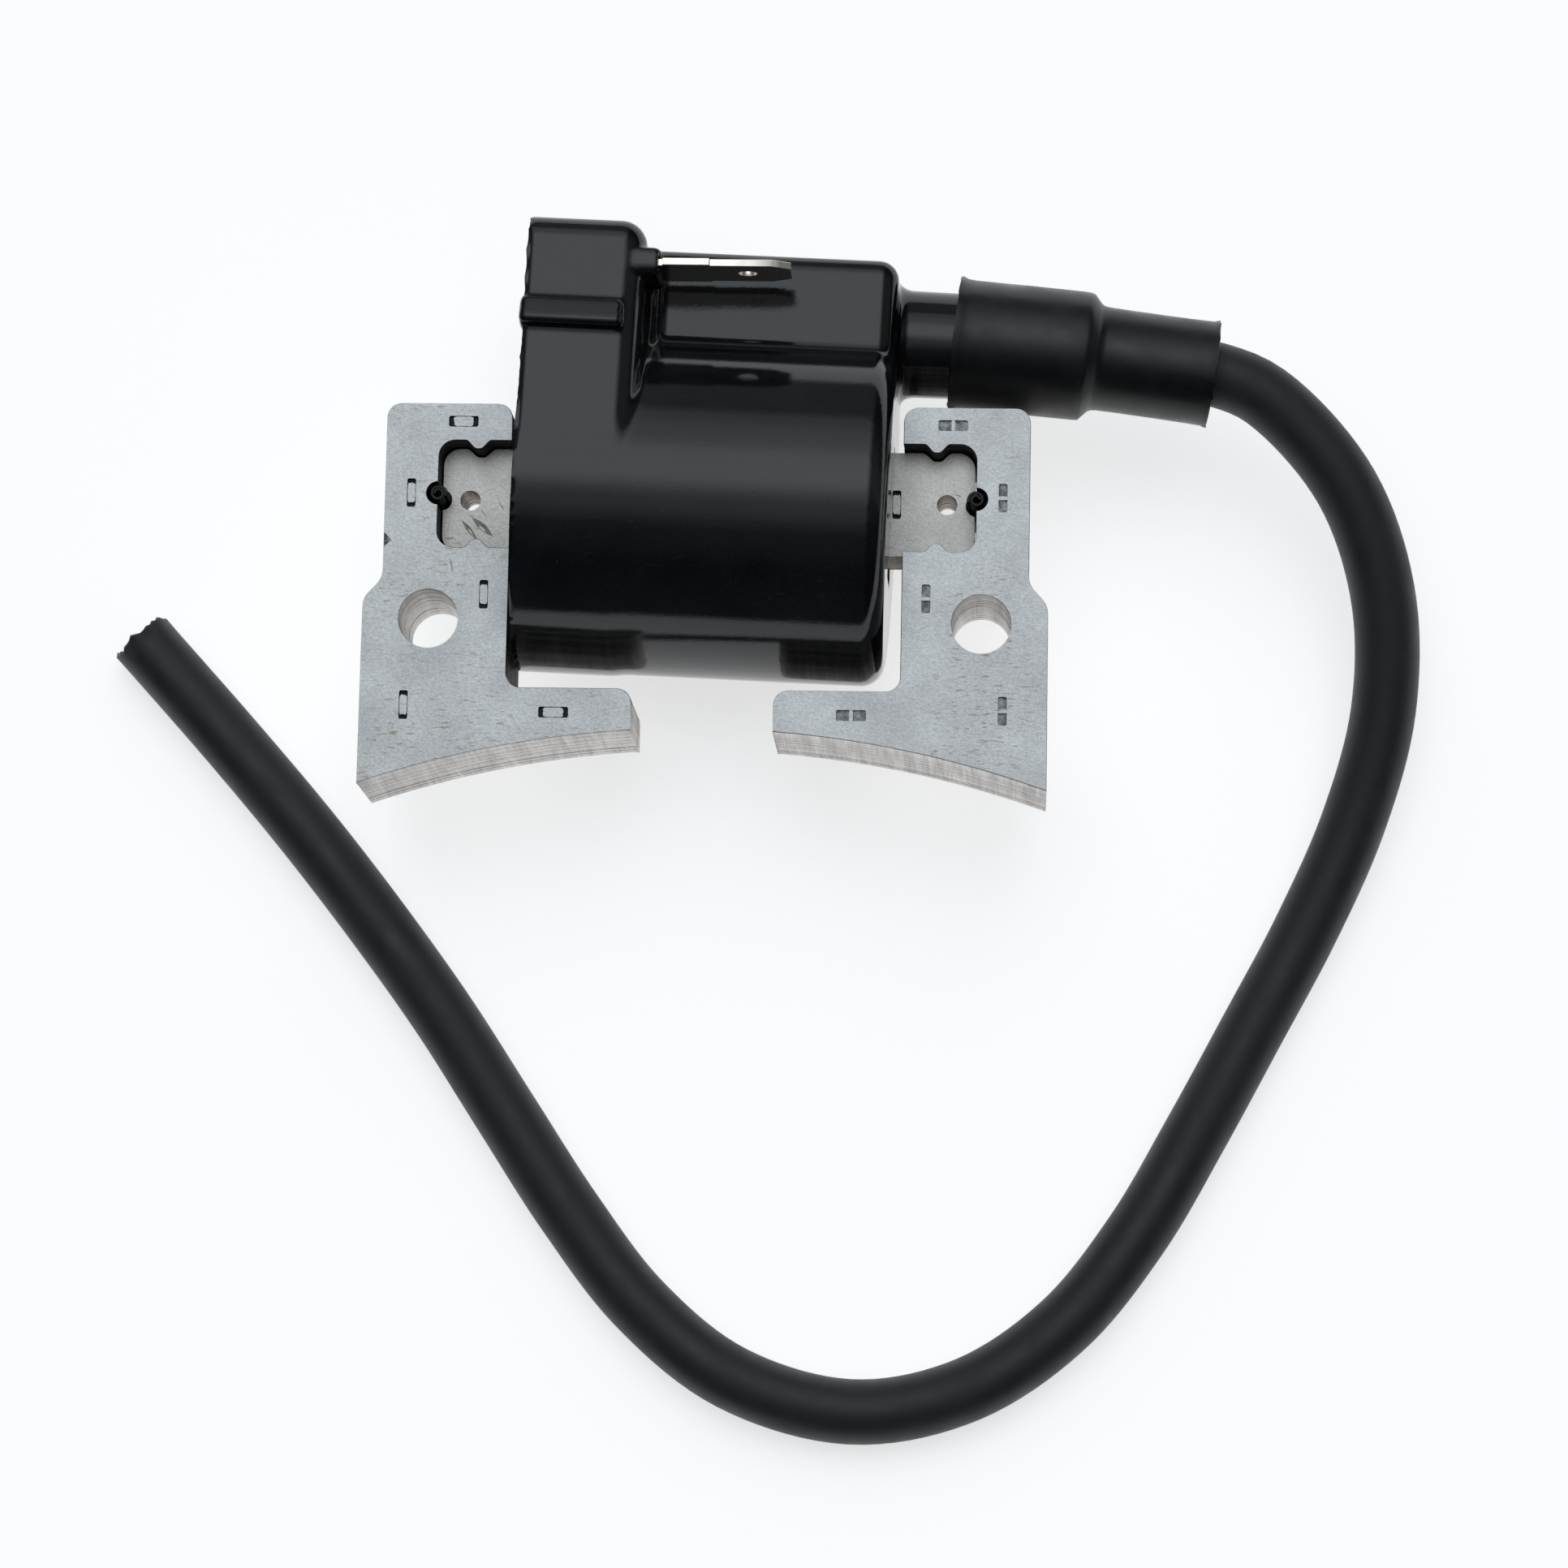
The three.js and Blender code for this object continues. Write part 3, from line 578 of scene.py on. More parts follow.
def steel_edge(name, dark, light):
    """Sheared edges: fine drag lines across the sheets, and each sheet a little different."""
    n = Nodes(name)
    drag = n.noise(1.0, 3, 0.65, n.scaled(3600, 3600, 110))
    sheets = n.noise(1.0, 1, 0.5, n.scaled(60, 60, 2000))
    bands = n.noise(1.0, 2, 0.6, n.scaled(800, 800, 50))
    both = n.maths("ADD", n.maths("MULTIPLY", drag, 0.45), n.maths("MULTIPLY", bands, 0.35))
    tone = n.spread(n.maths("ADD", both, n.maths("MULTIPLY", sheets, 0.20)), 0.34, 0.66)
    colour = n.mix(tone, dark, light)
    rough = n.spread(drag, 0.3, 0.7, 0.38, 0.55)
    return n.finish(colour, rough, n.bump(drag, 0.4, 0.00006), Metallic=0.80)


def dark_metal(name, shade=0.03):
    n = Nodes(name)
    mottle = n.noise(2200, 4, 0.6)
    colour = n.mix(mottle, (shade * 0.5,) * 3, (shade * 1.7,) * 3)
    rough = n.spread(mottle, 0.3, 0.7, 0.45, 0.7)
    return n.finish(colour, rough, n.bump(mottle, 0.3, 0.00004), Metallic=0.6)


def glossy_moulding():
    """Black moulded plastic: faint waviness, fine scuffs and pale dust specks."""
    n = Nodes("glossy_black_moulding")
    haze = n.noise(70, 4, 0.6)
    scuff = n.spread(n.noise(1.0, 5, 0.7, n.scaled(420, 2600, 420, 0.5)), 0.60, 0.74)
    speck = n.spread(n.cells(950), 0.03, 0.075, 1.0, 0.0)
    patch = n.spread(n.noise(160, 2, 0.5), 0.52, 0.60)
    dust = n.maths("MULTIPLY", speck, patch)
    grain = n.noise(6500, 2, 0.6)
    tone = n.maths("ADD", n.maths("MULTIPLY", haze, 0.55), n.maths("MULTIPLY", grain, 0.45))
    base = n.mix(n.spread(tone, 0.38, 0.62), (0.0030, 0.0032, 0.0038), (0.0150, 0.0158, 0.0176))
    worn = n.mix(n.maths("MULTIPLY", scuff, 0.35), base, (0.035, 0.036, 0.038))
    colour = n.mix(n.maths("MULTIPLY", dust, 0.5), worn, (0.16, 0.16, 0.155))
    rough = n.maths("ADD", n.spread(haze, 0.35, 0.7, 0.05, 0.11), n.maths("MULTIPLY", scuff, 0.10))
    ripple = n.bump(n.noise(330, 2, 0.4), 0.07, 0.00005)
    ripple = n.bump(n.noise(1700, 3, 0.6), 0.16, 0.00003, ripple)
    normal = n.bump(grain, 0.25, 0.00002, ripple)
    return n.finish(colour, rough, normal, IOR=1.5)


def rubber(name, dark, light, low, high, grain, bump):
    """Black rubber: cloudy bloom, smudges and a fine skin."""
    n = Nodes(name)
    cloud = n.noise(210, 5, 0.6, distortion=0.4)
    skin_grain = n.noise(grain, 3, 0.6)
    speck = n.spread(n.cells(1500), 0.02, 0.06, 1.0, 0.0)
    colour = n.mix(cloud, dark, light)
    colour = n.mix(n.maths("MULTIPLY", speck, 0.25), colour, (0.12, 0.12, 0.12))
    rough = n.spread(cloud, 0.32, 0.68, low, high)
    return n.finish(colour, rough, n.bump(skin_grain, bump, 0.00004), IOR=1.48)


def tin_plate():
    n = Nodes("bright_tin")
    drag = n.noise(1.0, 4, 0.6, n.scaled(420, 420, 3800))
    colour = n.mix(drag, (0.66, 0.61, 0.54), (0.92, 0.86, 0.77))
    return n.finish(colour, n.spread(drag, 0.3, 0.7, 0.16, 0.34), n.bump(drag, 0.2, 0.00003), Metallic=1.0)


def plain_grained(name, dark, light, roughness, metallic=0.0, scale=1600):
    n = Nodes(name)
    mottle = n.noise(scale, 4, 0.6)
    rough = n.spread(mottle, 0.3, 0.7, roughness * 0.85, roughness * 1.15)
    return n.finish(n.mix(mottle, dark, light), rough, n.bump(mottle, 0.25, 0.00004), Metallic=metallic)


def wound_wire(name, dark, light, pitch):
    """Turns of enamelled wire laid side by side along the coil."""
    n = Nodes(name)
    wave = n.tree.nodes.new("ShaderNodeTexWave")
    wave.bands_direction = "X"
    wave.inputs["Scale"].default_value = 1 / (2 * pitch * MM) / 3.18
    wave.inputs["Distortion"].default_value = 0.3
    n.link(n.coordinates.outputs["Object"], wave.inputs["Vector"])
    turn = wave.outputs["Fac"]
    # Each turn is light on its crown and dark in the groove beside it: painted highlight and painted shade,
    # on the same bands as the bump.
    colour = n.mix(turn, dark, light)
    return n.finish(colour, n.spread(turn, 0, 1, 0.5, 0.28), n.bump(turn, 0.8, 0.00008), Metallic=0.8)


# ---- the lead, which comes first ----

LEAD_R, LEAD_BORE = 3.6, 1.3
LEAD_ROUTE = [
    (0.0256, 0.0209, 0.0186),
    (0.0347, 0.0204, 0.0186),
    (0.0417, 0.0198, 0.0185),
    (0.0486, 0.0191, 0.0183),
    (0.0553, 0.0181, 0.0179),
    (0.0610, 0.0158, 0.0171),
    (0.0698, 0.0065, 0.0148),
    (0.0742, -0.0052, 0.0116),
    (0.0745, -0.0176, 0.0082),
    (0.0714, -0.0297, 0.0054),
    (0.0663, -0.0415, 0.0039),
    (0.0603, -0.0530, 0.00362),
    (0.0542, -0.0645, 0.00362),
    (0.0478, -0.0757, 0.00362),
    (0.0398, -0.0858, 0.00362),
    (0.0293, -0.0930, 0.00362),
    (0.0168, -0.0956, 0.00362),
    (0.0035, -0.0921, 0.00362),
    (-0.0067, -0.0843, 0.00362),
    (-0.0148, -0.0742, 0.00362),
    (-0.0221, -0.0634, 0.00362),
    (-0.0294, -0.0525, 0.00362),
    (-0.0368, -0.0426, 0.00362),
    (-0.0450, -0.0324, 0.00362),
    (-0.0538, -0.0223, 0.00362),
    (-0.0644, -0.0107, 0.00362),
]


def lead_jacket(material):
    """The lead's rubber: a long round tube with a torn cut end."""
    line, length = smooth_line([tuple(c / MM for c in p) for p in LEAD_ROUTE], 1.5)
    line[:, 2] = np.maximum(line[:, 2], LEAD_R + 0.10)
    sides = 40
    rng = np.random.default_rng(7)
    angles = np.linspace(0, 2 * math.pi, sides, endpoint=False)
    phases = rng.uniform(0, 2 * math.pi, (6, 3))

    def wobble(k, angle):
        along = k * 1.5
        slow = 0.02 * math.sin(along / 23 + phases[0, 0]) + 0.012 * math.sin(along / 7 + phases[1, 0])
        return slow + 0.01 * np.sin(2 * angle + along / 31)

    rings = sweep(line, [LEAD_R - 0.02] * len(line), sides, wobble)
    tangents, across, upward = line_frames(line)
    spokes = np.cos(angles)[:, None] * across[-1] + np.sin(angles)[:, None] * upward[-1]
    torn = sum(
        (0.34 / h) * np.sin(h * angles + phases[h - 1, 1]) for h in range(1, 6)
    ) + rng.normal(0, 0.13, sides) + 1.0
    end, forward = line[-1], tangents[-1]
    tail = [
        (LEAD_R - 0.02, torn - 0.25),
        (LEAD_R - 0.35, torn + rng.normal(0.02, 0.08, sides)),
        (LEAD_R - 1.1, 0.6 * torn + rng.normal(-0.10, 0.16, sides)),
        (LEAD_BORE + 0.35, 0.35 * torn + rng.normal(-0.12, 0.14, sides)),
        (LEAD_BORE, 0.2 * torn - 0.35 + rng.normal(0, 0.05, sides)),
        (LEAD_BORE - 0.05, np.full(sides, -3.0)),
        (0.4, np.full(sides, -3.1)),
    ]
    rings.pop()
    for radius, push in tail:
        rings.append(end + spokes * radius + forward * np.asarray(push)[:, None])
    vertices, faces = skin(rings)
    vertices = [(x, y, max(z, 0.02)) for x, y, z in vertices]
    item = make_object("high_tension_lead_jacket", vertices, faces, [material], smooth=50)
    return place(item, "lead_jacket", "high_tension_lead"), line, length


def lead_strands(line, material):
    """A few fine dark strands that stand out of the cut end."""
    rng = np.random.default_rng(11)
    tangents, across, upward = line_frames(line)
    end, forward, u, v = line[-1], tangents[-1], across[-1], upward[-1]
    vertices, faces = [], []
    for k in range(14):
        angle, radius = rng.uniform(0, 2 * math.pi), rng.uniform(0.15, 0.95)
        root = end + (u * math.cos(angle) + v * math.sin(angle)) * radius - forward * 2.6
        lean = (u * rng.normal(0, 0.35) + v * rng.normal(0, 0.35)) * 1.0
        reach = rng.uniform(2.3, 3.5)
        line_k = np.array([root + forward * reach * t + lean * t**3 for t in np.linspace(0, 1, 9)])
        rings = sweep(line_k, [0.11] * len(line_k), 7)
        points, quads = skin(rings)
        quads = [tuple(i + len(vertices) for i in q) for q in quads]
        vertices += points
        faces += quads
    item = make_object("lead_strands", vertices, faces, [material], smooth=60)
    return place(item, "copper_wire", "lead_conductor")


# ---- the boot ----

BOOT = {
    "start": (26.0, 20.05),
    "wide": 7.1,
    "narrow": 5.7,
    "wide_end": 14.6,
    "shoulder_end": 16.2,
    "end": 28.4,
}
BOOT_TILT, BOOT_BEND, BOOT_DROOP = -3.3, -1.5, 3.2
TOWER_R, TOWER_END = 5.9, 34.0


def boot_line(s):
    """The boot's centre line: straight to the shoulder, then turned in plane and down."""
    tilt = math.radians(BOOT_TILT)
    heading = Vector((math.cos(tilt), math.sin(tilt), 0))
    start = Vector((*BOOT["start"], 0))
    knee = BOOT["wide_end"]
    if s <= knee:
        return start + heading * s
    turn = math.radians(BOOT_TILT + BOOT_BEND)
    drop = math.radians(BOOT_DROOP)
    bent = Vector((math.cos(turn) * math.cos(drop), math.sin(turn) * math.cos(drop), -math.sin(drop)))
    return start + heading * knee + bent * (s - knee)


def rubber_boot(material):
    wide, narrow = BOOT["wide"], BOOT["narrow"]
    knee, shoulder, end = BOOT["wide_end"], BOOT["shoulder_end"], BOOT["end"]
    outer = [
        (0.0, wide - 0.25),
        (-0.12, wide + 0.02),
        (-0.10, wide + 0.26),
        (0.12, wide + 0.28),
        (0.7, wide + 0.08),
        (1.6, wide),
        (4.0, wide),
        (8.0, wide + 0.02),
        (12.0, wide),
        (knee - 1.0, wide - 0.01),
        (knee - 0.35, wide - 0.05),
        (knee - 0.05, wide - 0.20),
        (knee + 0.75, narrow + 0.30),
        (knee + 1.1, narrow + 0.10),
        (shoulder + 0.1, narrow + 0.02),
        (shoulder + 2.0, narrow),
        (22.0, narrow),
        (25.0, narrow + 0.02),
        (end - 1.4, narrow + 0.06),
        (end - 0.5, narrow + 0.08),
        (end - 0.12, narrow + 0.22),
        (end + 0.06, narrow + 0.24),
        (end + 0.10, narrow + 0.06),
        (end, narrow - 0.3),
        (end - 0.4, LEAD_R + 0.75),
        (end - 1.2, LEAD_R + 0.22),
        (shoulder, LEAD_R + 0.2),
        (TOWER_END - BOOT["start"][0] + 1.5, LEAD_R + 0.2),
        (TOWER_END - BOOT["start"][0] + 0.6, TOWER_R + 0.55),
        (4.0, TOWER_R + 0.5),
        (0.8, TOWER_R + 0.55),
    ]
    sides = 64
    angles = np.linspace(0, 2 * math.pi, sides, endpoint=False)
    rng = np.random.default_rng(3)
    lip = rng.normal(0, 0.035, sides)
    rings = []
    for s, r in outer:
        centre = np.array(boot_line(max(0.0, s)))
        ahead = np.array(boot_line(max(0.0, s) + 0.5)) - centre
        ahead /= np.linalg.norm(ahead)
        if s < 0:
            centre = centre + ahead * s
        side = np.cross(ahead, (0, 0, 1.0))
        side /= np.linalg.norm(side)
        up = np.cross(side, ahead)
        at_lip = (s < 0.3 and r > wide) or (s > end - 0.2 and r > narrow + 0.2)
        spokes = np.cos(angles)[:, None] * side + np.sin(angles)[:, None] * up
        push = ahead * (lip[:, None] * 1.5 if at_lip else 0)
        rings.append(centre + spokes * (r + (lip if at_lip else 0) * np.ones(sides))[:, None] + push)
    points, faces = skin(rings, loop=True)
    faces = [tuple(reversed(f)) for f in faces]
    item = make_object("rubber_boot_sleeve", from_housing(points), faces, [material], smooth=50)
    fix_normals(item)
    return place(item, "boot_rubber", "rubber_boot")


def fix_normals(item):
    """Turns every face outwards."""
    work = bmesh.new()
    work.from_mesh(item.data)
    bmesh.ops.recalc_face_normals(work, faces=work.faces)
    work.to_mesh(item.data)
    work.free()


# ---- the housing, as a distance field in its own frame ----

CUP_R, CUP_LEFT, CUP_RIGHT, CUP_EDGE = 18.6, -20.0, 20.0, 2.6
WALL = 1.8
BLOCK_RIGHT, BLOCK_TOP, BLOCK_EDGE = -7.4, 27.95, 2.8
BOX_RIGHT, BOX_TOP, BOX_LOW, BOX_HALF_Z, BOX_EDGE = 19.6, 27.3, 9.0, 8.4, 2.2
TOWER_Y, TOWER_BORE = 19.7, 4.1
BLADE_Y, BLADE_Z, BLADE_WIDTH, BLADE_TIP = 23.2, 14.3, 6.3, 8.2
NUB_RIGHT, NUB_LOW, NUB_HIGH = -5.65, 21.8, 24.8
STEP_RIGHT, STEP_TOP, STEP_HALF_Z = -6.3, 25.5, 9.6
RIB_Y, RIB_Z, RIB_LEAN = 16.95, 18.6, math.radians(17)
GRID = 0.36


def join(a, b, blend):
    """A union with a fillet of about the blend's size."""
    share = np.clip(0.5 + 0.5 * (b - a) / blend, 0, 1)
    return b + (a - b) * share - blend * share * (1 - share)


def slab(x, y, z, low, high, edge=0.0):
    """The distance to a box with round edges."""
    q = [np.abs(c - (l + h) / 2) - (h - l) / 2 + edge for c, l, h in zip((x, y, z), low, high)]
    outside = np.sqrt(sum(np.maximum(c, 0) ** 2 for c in q))
    return outside + np.minimum(np.maximum(np.maximum(q[0], q[1]), q[2]), 0) - edge


def round_bar(x, radial, left, right, edge=0.0):
    """The distance to a bar along X from its section's distance, with one round right edge."""
    a, b = x - right + edge, radial + edge
    outside = np.sqrt(np.maximum(a, 0) ** 2 + np.maximum(b, 0) ** 2)
    return np.maximum(outside + np.minimum(np.maximum(a, b), 0) - edge, left - x)


def mouth_section(y, z, inset):
    """The distance to the mouth's outline: the cup's round with the block's square on top."""
    r = max(BLOCK_EDGE - inset, 0.8)
    radius, top = CUP_R - inset, BLOCK_TOP - inset
    qy = np.abs(y - top / 2) - top / 2 + r
    qz = np.abs(z) - radius + r
    square = np.sqrt(np.maximum(qy, 0) ** 2 + np.maximum(qz, 0) ** 2)
    square = square + np.minimum(np.maximum(qy, qz), 0) - r
    return np.minimum(square, np.sqrt(y * y + z * z) - radius)


def housing_field(x, y, z):
    """The distance to the moulding: its outer shapes joined, less its rooms; flat under the block."""
    radial = np.sqrt(y * y + z * z)
    tower_radial = np.sqrt((y - TOWER_Y) ** 2 + z * z)
    cup = round_bar(x, radial - CUP_R, CUP_LEFT, CUP_RIGHT, CUP_EDGE)
    block = round_bar(x, mouth_section(y, z, 0), CUP_LEFT, BLOCK_RIGHT, BLOCK_EDGE)
    box = slab(
        x, y, z, (BLOCK_RIGHT - 4, BOX_LOW, -BOX_HALF_Z), (BOX_RIGHT, BOX_TOP, BOX_HALF_Z), BOX_EDGE
    )
    taper = 0.012 * (x - CUP_RIGHT)
    tower = round_bar(x, tower_radial - TOWER_R + taper, CUP_RIGHT - 4, TOWER_END, 0.5)
    step_low, step_high = (BLOCK_RIGHT - 2, BOX_LOW, -STEP_HALF_Z), (STEP_RIGHT, STEP_TOP, STEP_HALF_Z)
    step = slab(x, y, z, step_low, step_high, 0.9)
    nub = slab(x, y, z, (BLOCK_RIGHT - 2, NUB_LOW, 10.2), (NUB_RIGHT, NUB_HIGH, 18.2), 0.8)
    rib_y = (y - RIB_Y) * math.cos(RIB_LEAN) - (z - RIB_Z) * math.sin(RIB_LEAN)
    rib_z = (y - RIB_Y) * math.sin(RIB_LEAN) + (z - RIB_Z) * math.cos(RIB_LEAN)
    rib = slab(x, rib_y, rib_z, (-20.5, -1.62, -2.0), (-9.4, 1.62, 0.88), 0.62)
    solid = join(cup, box, 0.9)
    solid = join(solid, tower, 1.6)
    solid = np.maximum(join(solid, block, 0.8), -z - CUP_R + 0.02)
    solid = join(solid, step, 1.3)
    solid = join(solid, nub, 0.4)
    room = round_bar(x, radial - CUP_R + WALL, CUP_LEFT - 2, CUP_RIGHT - WALL, 0.8)
    room = np.minimum(room, round_bar(x, mouth_section(y, z, WALL), CUP_LEFT - 2, BLOCK_RIGHT - WALL))
    room = np.minimum(room, slab(x, y, z, (-11, 8.9, -6.5), (17.7, 25.4, 6.5), 0.5))
    room = np.minimum(room, slab(x, y, z, (15, -6.8, -4.05), (22, 6.8, 4.05)))
    room = np.minimum(room, round_bar(x, tower_radial - TOWER_BORE, 21.4, 40))
    room = np.minimum(room, round_bar(x, tower_radial - 1.1, 15, 24))
    slot_z = BLADE_WIDTH / 2 + 0.3
    room = np.minimum(
        room, slab(x, y, z, (-11, BLADE_Y - 0.7, BLADE_Z - slot_z), (-4, BLADE_Y + 0.7, BLADE_Z + slot_z))
    )
    solid = np.maximum(solid, -room)
    return join(solid, rib, 0.3)


def surface_net(values, low, step):
    """The zero surface of a grid of distances, as vertices and quads."""
    inside = values < 0
    shape = tuple(n - 1 for n in values.shape)
    corners = list(itertools.product((0, 1), repeat=3))
    count = np.zeros(shape, np.int8)
    for i, j, k in corners:
        count += inside[i : i + shape[0], j : j + shape[1], k : k + shape[2]]
    mixed = (count > 0) & (count < 8)
    number = np.full(shape, -1, np.int64)
    cells = np.argwhere(mixed)
    number[mixed] = np.arange(len(cells))
    total, hits = np.zeros((len(cells), 3)), np.zeros(len(cells))
    for axis in range(3):
        for a, b in itertools.product((0, 1), repeat=2):
            first = np.insert(np.array([a, b]), axis, 0)
            second = np.insert(np.array([a, b]), axis, 1)
            v0 = values[tuple((cells + first).T)]
            v1 = values[tuple((cells + second).T)]
            cross = (v0 < 0) != (v1 < 0)
            t = np.where(cross, v0 / np.where(cross, v0 - v1, 1), 0)
            point = cells + first + t[:, None] * np.eye(3)[axis]
            total[cross] += point[cross]
            hits += cross
    vertices = np.array(low) + step * total / hits[:, None]
    faces = []
    for axis in range(3):
        others = [i for i in range(3) if i != axis]
        ahead = np.roll(inside, -1, axis)
        change = inside != ahead
        keep = np.zeros_like(change)
        window = [slice(1, -1)] * 3
        window[axis] = slice(0, -1)
        keep[tuple(window)] = True
        edges = np.argwhere(change & keep)
        starts_inside = inside[tuple(edges.T)]
        quad = []
        for a, b in ((1, 1), (0, 1), (0, 0), (1, 0)):
            cell = edges.copy()
            cell[:, others[0]] -= a
            cell[:, others[1]] -= b
            quad.append(number[tuple(cell.T)])
        quad = np.stack(quad, axis=1)
        flip = starts_inside if axis != 1 else ~starts_inside
        quad[~flip] = quad[~flip][:, ::-1]
        faces.append(quad)
    return vertices, np.concatenate(faces)


def housing(material):
    low, high = (-21.6, -19.8, -19.8), (35.4, 28.4, 21.2)
    axes = [np.arange(a, b, GRID) for a, b in zip(low, high)]
    x, y, z = np.meshgrid(*axes, indexing="ij")
    vertices, faces = surface_net(housing_field(x, y, z), low, GRID)
    points = from_housing(vertices)
    item = make_object("housing_moulding", points, faces.tolist(), [material], smooth=40)
    fix_normals(item)
    return place(item, "moulding", "housing_shell")


def mouth_flash(material):
    """The thin torn skin of plastic that stands out round the open mouth."""
    rng = np.random.default_rng(5)
    outline = arc(0, 0, CUP_R - 0.12, 90, 270, 220)
    r = BLOCK_EDGE
    corner = BLOCK_TOP - r
    outline += [(t, -CUP_R + 0.12) for t in np.linspace(1, corner, 90)]
    outline += arc(corner, -CUP_R + r, r - 0.12, -90, 0, 10)
    outline += [(BLOCK_TOP - 0.12, t) for t in np.linspace(-CUP_R + r + 0.5, CUP_R - r - 0.5, 70)]
    outline += arc(corner, CUP_R - r, r - 0.12, 0, 90, 10)
    outline += [(t, CUP_R - 0.12) for t in np.linspace(corner - 0.5, 0.5, 50)]
    outline = rounded_outline(outline)
    count = len(outline)
    rough = rng.normal(0, 1, count)
    rough = (rough + np.roll(rough, 1) + np.roll(rough, -1)) / 3
    reach = np.clip(0.08 + 0.12 * rough, 0.03, 0.4)
    normals = loop_normals(np.array(outline))
    rings = []
    for k, (y, z) in enumerate(outline):
        ny, nz = normals[k]
        lean = 0.10 * rough[k]
        rings.append(
            [
                (CUP_LEFT + 0.25, y + 0.10 * ny, z + 0.10 * nz),
                (CUP_LEFT - reach[k], y + lean * ny, z + lean * nz),
                (CUP_LEFT + 0.25, y - 0.12 * ny, z - 0.12 * nz),
            ]
        )
    points, faces = skin(rings, loop=True)
    item = make_object("mouth_flash", from_housing(points), faces, [material], smooth=30)
    fix_normals(item)
    return place(item, "moulding")


# ---- small pieces ----


def blade(material):
    """The stop-switch blade: bevelled all round, with its detent hole and a wider root."""
    half, long, wide, shoulder = BLADE_WIDTH / 2, 2.1, 1.2, 0.42
    root, tip, step = -9.0 - NUB_RIGHT, BLADE_TIP - NUB_RIGHT, 5.2
    near_side = [
        (root, -half),
        (0.06, -half),
        (0.12, -half - shoulder),
        (step - 0.1, -half - shoulder),
        (step, -half),
        (tip - long, -half),
        (tip, wide - half),
    ]
    outline = near_side + [(x, -y) for x, y in reversed(near_side)]
    hole = arc(3.5 - NUB_RIGHT, 0, 1.05, 0, 360, 28)[:-1]
    loops = [np.array(outline), np.array(hole)[::-1]]
    normals = [loop_normals(loop) for loop in loops]
    vertices, faces, rows = [], [], []
    for height, inset in ((-0.4, -0.07), (-0.34, 0), (0.34, 0), (0.4, -0.07)):
        row = []
        for loop, normal in zip(loops, normals):
            row.append(len(vertices))
            vertices += [(x, y, height) for x, y in loop + normal * inset]
        rows.append(row)
    for lower, upper in zip(rows, rows[1:]):
        for a, b, loop in zip(lower, upper, loops):
            n = len(loop)
            faces += [(a + i, a + (i + 1) % n, b + (i + 1) % n, b + i) for i in range(n)]
    slots = [0] * len(faces)
    for side, row in ((1, rows[-1]), (-1, rows[0])):
        cap(vertices, faces, slots, loops, row, [], side)
    lift = Matrix.Rotation(math.radians(2.1), 4, "Z")
    turned = [lift @ Vector((x, -z, y)) + Vector((NUB_RIGHT, BLADE_Y, BLADE_Z)) for x, y, z in vertices]
    item = make_object("stop_switch_blade", from_housing(turned), faces, [material], smooth=30)
    fix_normals(item)
    return place(item, "tin_plate", "terminal_blade")


def spring_pin(side, material):
    """A pin coiled from strip: a spiral section with rounded ends, flush with the leg's faces."""
    sign = -1 if side == "left" else 1
    turns, thick, half = 1.55, 0.25, 7.15
    angles = np.linspace(0, turns * 2 * math.pi, 64)
    outer_r = 1.05 - (turns * 2 * math.pi - angles) * 0.34 / (2 * math.pi)
    outside = [(r * math.cos(a), r * math.sin(a)) for a, r in zip(angles, outer_r)]
    inside = [((r - thick) * math.cos(a), (r - thick) * math.sin(a)) for a, r in zip(angles, outer_r)]
    section = outside + inside[::-1]
    cx, cy = sign * POCKET["outer_x"], PIN_Y[side] + HOLE_LINE_Y
    rings = []
    for z, shrink in ((-half, 0.9), (0.25 - half, 1.0), (half - 0.25, 1.0), (half, 0.9)):
        rings.append([(cx + x * shrink * sign, cy + y * shrink, MID_Z + z) for x, y in section])
    points, faces = skin(rings)
    item = make_object(side + "_coiled_pin", points, faces, [material], smooth=35)
    fix_normals(item)
    return place(item, "spring_steel", side + "_spring_pin")


LEG_SHEETS = ("front_lamination", "lamination_stack", "back_lamination")


def in_pocket_shade(x, y):
    """The pocket's walls and the leg's side towards the housing are drawn near-black: painted shade where
    they lie deep in the pocket or face the housing.
    """
    across = LEG["inner_x"] - 0.05 < x < POCKET["outer_x"] + 2
    up = POCKET["low"] - 0.1 < y < LEG["top_y"] - 1.8
    return (across and up) or abs(x - LEG["inner_x"]) < 0.05


def legs(materials):
    bolt = arc(BOLT_X, 0, BOLT_R, 0, 360, 48)[:-1]
    for side, mirror in (("right", False), ("left", True)):
        nodes = [f"{side}_leg_{sheet}" for sheet in LEG_SHEETS]
        dents = [interlock(*spot, "deep" if mirror else "shallow") for spot in DIMPLES]
        if mirror:
            # a chip out of the left leg's outer edge; its hollow gets the mottled painted shade
            dents.append({"rim": [(34.25, 8.6), (35.04, 7.85), (35.04, 9.5)], "depth": 0.3, "cut": 3})
            dents.append(gouge(leaf(27.6, 5.9, 1.7, 0.16, 80), 0.03, (0, 0)))
        stacked(
            side + "_pole_leg",
            leg_outline(PIN_Y[side]),
            [bolt],
            dents,
            LEG_BACK_Z,
            LEG_FRONT_Z,
            materials,
            "pole_steel",
            nodes,
            in_pocket_shade,
            mirror,
            seed=21 if mirror else 22,
        )


